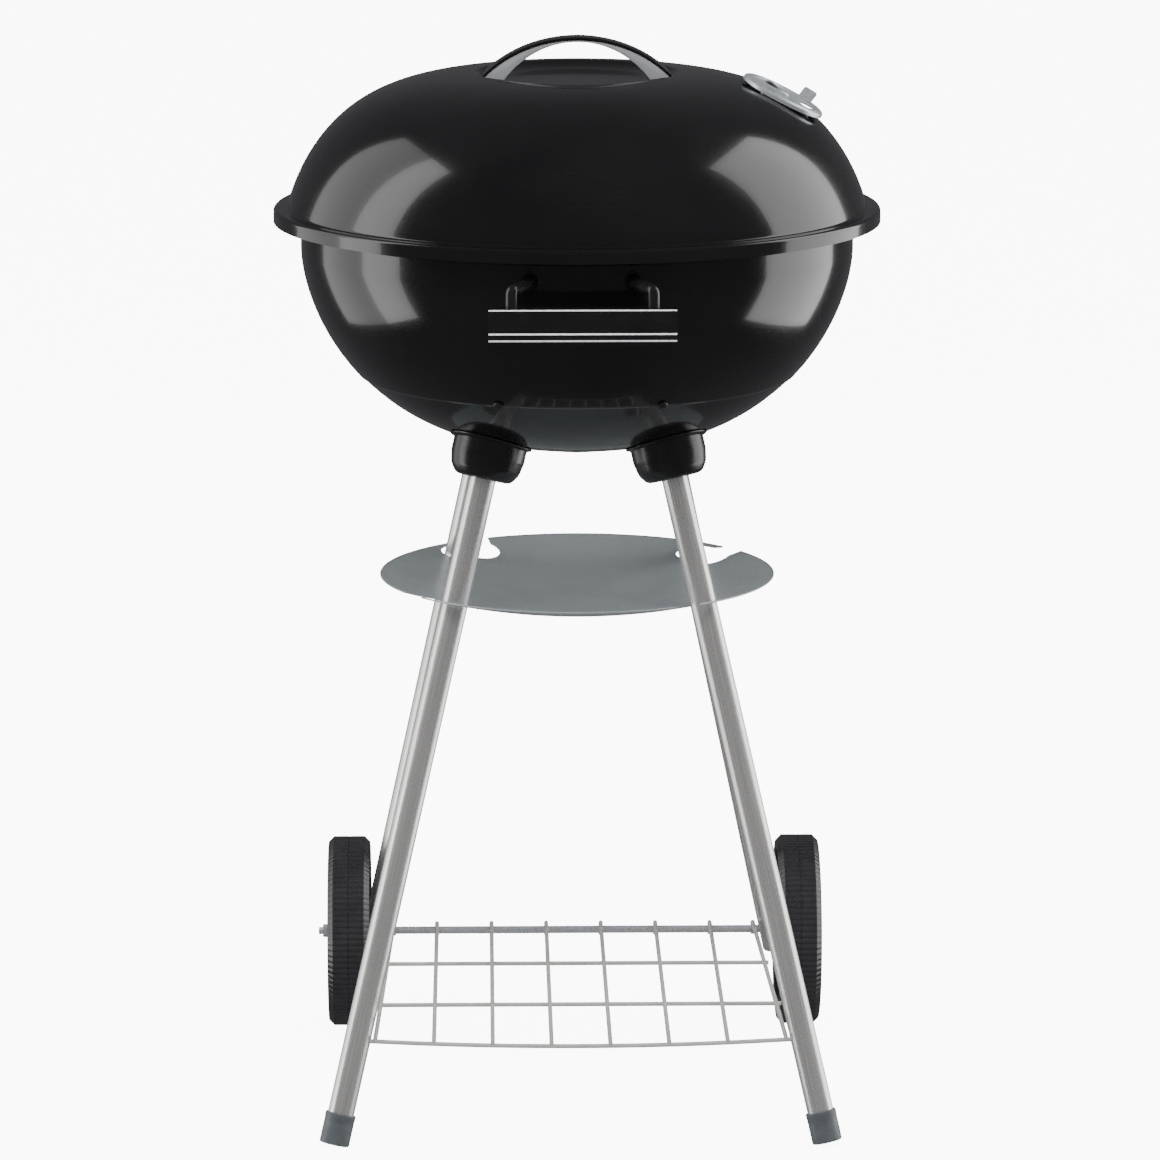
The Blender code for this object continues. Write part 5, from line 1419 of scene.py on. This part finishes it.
    def build_axle(self) -> None:
        """Turns the rod with its domed head, a thread at the other end, and the nut on it.

        The thread is a wave along the rod whose phase goes round once per turn of the circle. The nut's
        radius at an angle is its half width over the cosine of the angle from the middle of the flat, and
        no more than a cone at each end, which gives the bevelled corners.
        """
        face = self.x + self.hub[1] + 2 * GAP
        end = face + self.nut_thick + self.tip
        dome = np.linspace(np.pi / 2, 0.1, 12)
        rim, rise = self.head
        pitch, deep = self.thread
        head = np.stack([rim * np.cos(dome), rise * np.sin(dome)], axis=1)
        head[0, 0] = 0.0
        plain = np.linspace(-0.0002, -(face + face - 0.004), 12)
        thread = np.linspace(-(face + face - 0.003), -(face + end) + 0.0006, 110)
        rod = np.concatenate([plain, thread])
        shank = np.stack([np.full(len(rod), self.axle), rod], axis=1)
        tip = np.array([(self.axle - 0.0006, -(face + end)), (0.0, -(face + end))])
        profile = np.concatenate([head, [(rim, 0.0), (self.axle, 0.0)], shank, tip])
        angle = np.linspace(0.0, 2 * np.pi, 65)[:, None]
        threaded = (profile[:, 1] <= thread[0]) & (profile[:, 1] >= thread[-1])
        wave = -deep * (0.5 + 0.5 * np.sin(2 * np.pi * profile[:, 1] / pitch + angle)) * threaded
        ripple = np.stack([wave, np.zeros_like(wave)], axis=-1)
        place = along((face, self.y, self.radius), (1.0, 0.0, 0.0))
        axle = turned(profile, 64, ripple).placed(place).made("axle_rod")
        show(axle, Body.STAND, ZINC, "zinc_hardware", "axle")

        half = self.nut_flats / 2
        station = np.array([0.0, 0.0003, 0.0008, 0.0014, 0.0025, 0.0036, 0.0042, 0.0047, 0.0050])
        angle = np.linspace(0.0, 2 * np.pi, 97)[:, None]
        from_flat = np.mod(angle + np.pi / 6, np.pi / 3) - np.pi / 6
        cone = half + 0.0002 + 1.3 * np.minimum(station, self.nut_thick - station)
        rim = np.minimum(half / np.cos(from_flat), cone[None, :])
        bore = np.full_like(rim, self.axle + GAP)
        radius = np.concatenate([rim, bore[:, ::-1], rim[:, :1]], axis=1)
        height = np.concatenate([station, station[::-1], station[:1]])[None, :]
        around = (radius * np.cos(angle), radius * np.sin(angle), height)
        points = np.stack(np.broadcast_arrays(*around), axis=-1)
        place = along((-face, self.y, self.radius), (-1.0, 0.0, 0.0))
        nut = Surface.from_grid(points).placed(place).made("axle_hex_nut", 25.0)
        show(nut, Body.STAND, ZINC, "zinc_hardware", "axle_nut")


@dataclass
class WireShelf:
    """Welded wire rack: long wires that hook over the axle, cross wires under them and a bowed front wire."""

    wire: float = 0.0018
    pitch: float = 0.0462
    rear_x: float = 0.1520
    front_x: float = 0.1634
    count: int = 8
    cross_y: tuple[float, float] = (0.0650, -0.0610)
    bow: float = 0.0190
    hook: float = 0.0110
    weld: float = 0.0008
    nugget_size: tuple[float, float] = (0.0017, 0.0011)
    axle: tuple[float, float, float] = (0.0032, 0.1830, 0.0800)

    def build(self) -> None:
        """Makes the rack as one piece."""
        radius, axle_y, axle_z = self.axle
        level = axle_z + radius + GAP + self.wire
        under = level - 2 * self.wire + self.weld
        hook_y = axle_y + radius + GAP + self.wire
        leg = Leg(Side.RIGHT, End.FRONT)
        post = leg.at(under)
        round_wire = disc_outline(self.wire, 14)

        def front_y(x: np.ndarray | float) -> np.ndarray | float:
            """Parabola of the front wire between the two legs."""
            return post[1] - self.bow * (1.0 - (x / post[0]) ** 2)

        wires = []
        nuggets = []
        for index in range(self.count):
            step = (index - (self.count - 1) / 2) * self.pitch
            rear = float(np.clip(step, -self.rear_x, self.rear_x))
            fore = float(np.clip(step * 1.005, -self.front_x, self.front_x))
            ahead = front_y(fore) - self.wire
            line = np.array([(fore, ahead, level), (rear, hook_y, level), (rear, hook_y, level - self.hook)])
            path = softened(line, 0.0016, 0.0005)
            keep = np.unique(np.concatenate([[0], np.arange(len(path) - 60, len(path), 3), [len(path) - 1]]))
            wires.append(swept(path[keep], round_wire, (1.0, 0.0, 0.0)))
            for y in (*self.cross_y, front_y(fore)):
                share = (hook_y - y) / (hook_y - ahead)
                nuggets.append((rear + (fore - rear) * share, y, (level + under) / 2))
        for y in self.cross_y:
            share = (hook_y - y) / (hook_y - post[1])
            half = self.rear_x + (self.front_x - self.rear_x) * share + 0.004
            line = np.stack([np.linspace(-half, half, 9), np.full(9, y), np.full(9, under)], axis=1)
            wires.append(swept(line, round_wire, (0.0, 0.0, 1.0)))
        reach = post[0] - leg.radius + leg.wall + 0.003
        x = np.linspace(-reach, reach, 61)
        line = np.stack([x, front_y(x), np.full(61, under)], axis=1)
        wires.append(swept(line, round_wire, (0.0, 0.0, 1.0)))
        wires += [self.nugget(spot) for spot in nuggets]
        rack = Surface.joined(wires).made("welded_rack", 50.0)
        show(rack, Body.STAND, WIRE, "wire_plating", "wire_shelf")

    def nugget(self, spot: tuple[float, float, float]) -> Surface:
        """Small squashed ball of weld between two wires."""
        angle = np.linspace(-np.pi / 2, np.pi / 2, 7)
        wide, tall = self.nugget_size
        ball = np.stack([wide * np.cos(angle), tall * np.sin(angle)], axis=1)
        ball[[0, -1], 0] = 0.0
        return turned(ball, 10).placed(Matrix.Translation(spot))


@dataclass
class AshCatcher:
    """Shallow dish that hangs on the four legs by curved slots with a round end and an open mouth."""

    radius: float = 0.1590
    depth: float = 0.0250
    rim_z: float = 0.4263
    sheet: float = 0.0010
    play: float = 0.0020
    key: float = 0.0168
    twist: float = 9.0
    mouth: tuple[float, float] = (6.9, 16.8)
    mouth_root: tuple[float, float] = (3.5, -2.5)

    def z(self, radius: np.ndarray | float) -> np.ndarray | float:
        """Height of the dish: a parabola of the radius."""
        return self.rim_z - self.depth * (1.0 - (np.asarray(radius) / self.radius) ** 2)

    def build(self) -> None:
        """Turns the dish with a fine bead round its rim and cuts the four slots."""
        radius = np.linspace(0.0, self.radius - 0.0008, 200)
        inside = np.stack([radius, self.z(radius) + self.sheet], axis=1)
        bead = arc((self.radius - 0.0007, self.rim_z + 0.0004), 0.0007, 110.0, -70.0, 12)
        outside = np.stack([radius[::-1], self.z(radius[::-1])], axis=1)
        loop = np.concatenate([thinned(inside, 0.8, 0.006), bead, thinned(outside, 0.8, 0.006)])
        dish = turned(loop, 256).made("ash_dish")
        cutters = []
        for end in End:
            for side in Side:
                cutters += self.slot(Leg(side, end))
        for cutter in cutters:
            bored(dish, [cutter], 30.0)
        show(dish, Body.ASH_CATCHER, ASH_PAINT, "grey_paint", "ash_catcher")

    def slot(self, leg: Leg) -> list[Surface]:
        """Cutters of one slot: a curved band round the leg, the round end and the mouth.

        Args:
            leg: Leg that stands in the slot.

        Returns:
            Three closed surfaces.
        """
        spot = leg.at(float(self.z(0.14)))
        ring = math.hypot(spot[0], spot[1])
        heading = math.degrees(math.atan2(spot[1], spot[0]))
        half = leg.radius + self.play
        start, end = heading - self.twist, heading + 0.5
        outer = arc((0.0, 0.0), ring + half, start, end, 16)
        inner = arc((0.0, 0.0), ring - half, end, start, 16)
        far = arc(tuple(polar(ring, end)), half, end, end + 180.0, 24)[1:-1]
        near = arc(tuple(polar(ring, start)), half, start + 180.0, start + 360.0, 24)[1:-1]
        band = self.prism(np.concatenate([outer, far, inner, near]), 0.030)
        turn = Matrix.Rotation(math.radians(start), 4, "Z")
        spot = Matrix.Translation((ring - 0.001, 0.0, self.rim_z))
        round_end = pin(self.key, -0.029, 0.029, 72).placed(turn @ spot)
        low, high = heading - self.mouth[1], heading - self.mouth[0]
        middle = (low + high) / 2
        beyond = self.radius + 0.01
        corners = [polar(beyond, low), polar(beyond, high)]
        corners += [polar(ring, middle + past) for past in self.mouth_root]
        mouth = self.prism(np.array(corners), 0.031)
        return [band, round_end, mouth]

    def prism(self, outline: np.ndarray, half: float) -> Surface:
        """Closed upright prism on a flat outline, its ends closed towards the outline's middle."""
        outline = np.concatenate([outline, outline[:1]])
        middle = np.broadcast_to(outline.mean(axis=0), outline.shape)
        levels = [(middle, -half), (outline, -half), (outline, half), (middle, half)]
        rings = [np.column_stack([line, np.full(len(line), self.rim_z + z)]) for line, z in levels]
        return Surface.from_grid(np.stack(rings))


@dataclass
class Grate:
    """Round grate: a ring, parallel bars on it and two stays under the bars."""

    name: str
    node: str
    body: Body
    radius: float
    wire: float
    bar: float
    pitch: float
    bars: int
    level: float
    finish: Finish
    slot: str
    weld: float = 0.0013
    stay_share: float = 0.45

    def build(self) -> None:
        """Makes the grate as one piece."""
        wires = [turned(arc((self.radius, self.level), self.wire, 0.0, 360.0, 17), 192)]
        raised = self.level + self.wire + self.bar - self.weld
        under = raised - 2 * self.bar + self.weld
        outline = disc_outline(self.bar, 12)
        for index in range(self.bars):
            x = self.pitch * (index - (self.bars - 1) / 2)
            half = math.sqrt(self.radius**2 - x**2)
            y = np.linspace(-half, half, 7)
            path = np.stack([np.full(7, x), y, np.full(7, raised)], axis=1)
            wires.append(swept(path, outline, (0.0, 0.0, 1.0)))
        stay_y = self.radius * self.stay_share
        half = math.sqrt(self.radius**2 - stay_y**2)
        for sign in (-1.0, 1.0):
            x = np.linspace(-half, half, 7)
            path = np.stack([x, np.full(7, sign * stay_y), np.full(7, under)], axis=1)
            wires.append(swept(path, outline, (0.0, 0.0, 1.0)))
        grate = Surface.joined(wires).made(self.name, 50.0)
        show(grate, self.body, self.finish, self.slot, self.node)


@dataclass(frozen=True)
class SoftBox:
    """Large soft light that faces a point.

    Attributes:
        name: Name of the light.
        place: Its middle.
        aim: Point that it faces.
        size: Width and height.
        power: Power in watts.
        mirrored: Whether glossy surfaces show it.
    """

    name: str
    place: tuple[float, float, float]
    aim: tuple[float, float, float]
    size: tuple[float, float]
    power: float
    mirrored: bool = True

    def build(self) -> None:
        """Puts the light into the scene, itself out of the camera's sight."""
        data = bpy.data.lights.new(self.name, "AREA")
        data.shape = "RECTANGLE"
        data.size, data.size_y = self.size
        data.energy = self.power
        light = bpy.data.objects.new(self.name, data)
        light.visible_camera = False
        light.visible_glossy = self.mirrored
        light.location = self.place
        light.rotation_euler = (Vector(self.aim) - Vector(self.place)).to_track_quat("-Z", "Y").to_euler()
        bpy.context.scene.collection.objects.link(light)


@dataclass
class Studio:
    """Pale floor, soft lights and the camera."""

    lens: float = 192.35
    distance: float = 4.9
    height: float = 1.435
    pitch: float = 11.7
    azimuth: float = -1.0
    aside: float = 0.0024
    floor_size: float = 60.0
    floor_glow: float = 9.0
    boxes: tuple[SoftBox, ...] = (
        SoftBox("left_near_box", (-2.3, -0.15, 1.4), (0.0, -0.15, 1.4), (0.85, 4.4), 44.0),
        SoftBox("left_far_box", (-2.3, 1.05, 1.4), (0.0, 1.05, 1.4), (1.55, 4.4), 30.0),
        SoftBox("right_box", (2.3, 0.70, 1.4), (0.0, 0.70, 1.4), (2.2, 4.4), 100.0),
        SoftBox("top_box", (0.0, -1.6, 3.0), (0.0, 0.0, 0.6), (2.0, 1.2), 70.0, mirrored=False),
    )

    def build(self) -> None:
        """Makes floor, world, lights and camera."""
        self.build_floor()
        self.build_world()
        for box in self.boxes:
            box.build()
        self.build_camera()

    def build_floor(self) -> None:
        """Flat pale floor, wide enough to fill the view."""
        half = self.floor_size
        mesh = bpy.data.meshes.new("floor")
        corners = [(-half, -half, 0.0), (half, -half, 0.0), (half, half, 0.0), (-half, half, 0.0)]
        mesh.from_pydata(corners, [], [(0, 1, 2, 3)])
        floor = bpy.data.objects.new("floor", mesh)
        bpy.context.scene.collection.objects.link(floor)
        paint = bpy.data.materials.new("floor_paint")
        paint.use_nodes = True
        shader = paint.node_tree.nodes["Principled BSDF"]
        shader.inputs["Base Color"].default_value = (0.86, 0.86, 0.86, 1.0)
        shader.inputs["Roughness"].default_value = 0.9
        shader.inputs["Specular IOR Level"].default_value = 0.1
        shader.inputs["Emission Color"].default_value = (1.0, 1.0, 1.0, 1.0)
        shader.inputs["Emission Strength"].default_value = self.floor_glow
        mesh.materials.append(paint)
        floor.visible_glossy = False
        floor.visible_diffuse = False

    def build_world(self) -> None:
        """Even white surround that glossy surfaces see much darker, as black cloth round the set would."""
        world = bpy.data.worlds.new("surround")
        bpy.context.scene.world = world
        world.use_nodes = True
        tree = world.node_tree
        tree.nodes.clear()
        path = tree.nodes.new("ShaderNodeLightPath")
        white = tree.nodes.new("ShaderNodeBackground")
        white.inputs["Color"].default_value = (1.0, 1.0, 1.0, 1.0)
        white.inputs["Strength"].default_value = 1.0
        cloth = tree.nodes.new("ShaderNodeBackground")
        cloth.inputs["Color"].default_value = (0.10, 0.10, 0.105, 1.0)
        mix = tree.nodes.new("ShaderNodeMixShader")
        out = tree.nodes.new("ShaderNodeOutputWorld")
        tree.links.new(path.outputs["Is Glossy Ray"], mix.inputs["Fac"])
        tree.links.new(white.outputs["Background"], mix.inputs[1])
        tree.links.new(cloth.outputs["Background"], mix.inputs[2])
        tree.links.new(mix.outputs["Shader"], out.inputs["Surface"])

    def build_camera(self) -> None:
        """Long lens at the front, a little above the lid and tilted down."""
        data = bpy.data.cameras.new("camera")
        data.lens = self.lens
        data.sensor_width = 36.0
        data.dof.use_dof = False
        camera = bpy.data.objects.new("camera", data)
        turn = math.radians(self.azimuth)
        ahead = Vector((-math.sin(turn), math.cos(turn), 0.0))
        right = Vector((math.cos(turn), math.sin(turn), 0.0))
        camera.location = -ahead * self.distance + right * self.aside + Vector((0.0, 0.0, self.height))
        tilt = math.radians(self.pitch)
        look = ahead * math.cos(tilt) + Vector((0.0, 0.0, -math.sin(tilt)))
        camera.rotation_euler = look.to_track_quat("-Z", "Y").to_euler()
        bpy.context.scene.collection.objects.link(camera)
        bpy.context.scene.camera = camera


def dress_hidden_nodes(frame: dict) -> None:
    """Gives the frame nodes that stay in view, or show with the lid off, their finishes.

    Args:
        frame: The loaded frame.
    """
    finishes = {"zinc_hardware": ZINC, "bracket_steel": BRACKET_STEEL}
    slots = {part["node"]: part["material_slot"] for part in frame["record"]["subparts"]}
    starts = ("leg_bolt", "lid_handle_bolt", "front_handle_screw")
    starts += ("charcoal_grate_bracket", "cooking_grate_tab")
    for name in [name for name in frame["nodes"] if name.startswith(starts)]:
        node = frame["nodes"][name]
        finish = finishes[slots[name]].material()
        if node.data.materials:
            for index in range(len(node.data.materials)):
                node.material_slots[index].link = "OBJECT"
                node.material_slots[index].material = finish
        else:
            node.data.materials.append(finish)
        LOG.info("%s: frame node kept, finish %s", name, finish.name)


def main() -> None:
    """Builds the grill piece by piece over the frame, then the studio round it."""
    logging.basicConfig(level=logging.INFO, format="%(name)s: %(message)s")
    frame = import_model()
    Bowl().build()
    Lid().build()
    FrontHandle().build()
    for end in End:
        for side in Side:
            Leg(side, end).build()
    Running().build()
    WireShelf().build()
    AshCatcher().build()
    Grate("cooking_grid", "cooking_grate", Body.COOKING_GRATE, 0.2080, 0.0030, 0.0018, 0.0225, 17, 0.6969,
          GRATE_CHROME, "grate_chrome").build()
    Grate("charcoal_grid", "charcoal_grate", Body.CHARCOAL_GRATE, 0.1600, 0.0030, 0.0027, 0.0255, 11, 0.6069,
          GRATE_STEEL, "grate_steel").build()
    dress_hidden_nodes(frame)
    Studio().build()


if __name__ == "__main__":
    main()
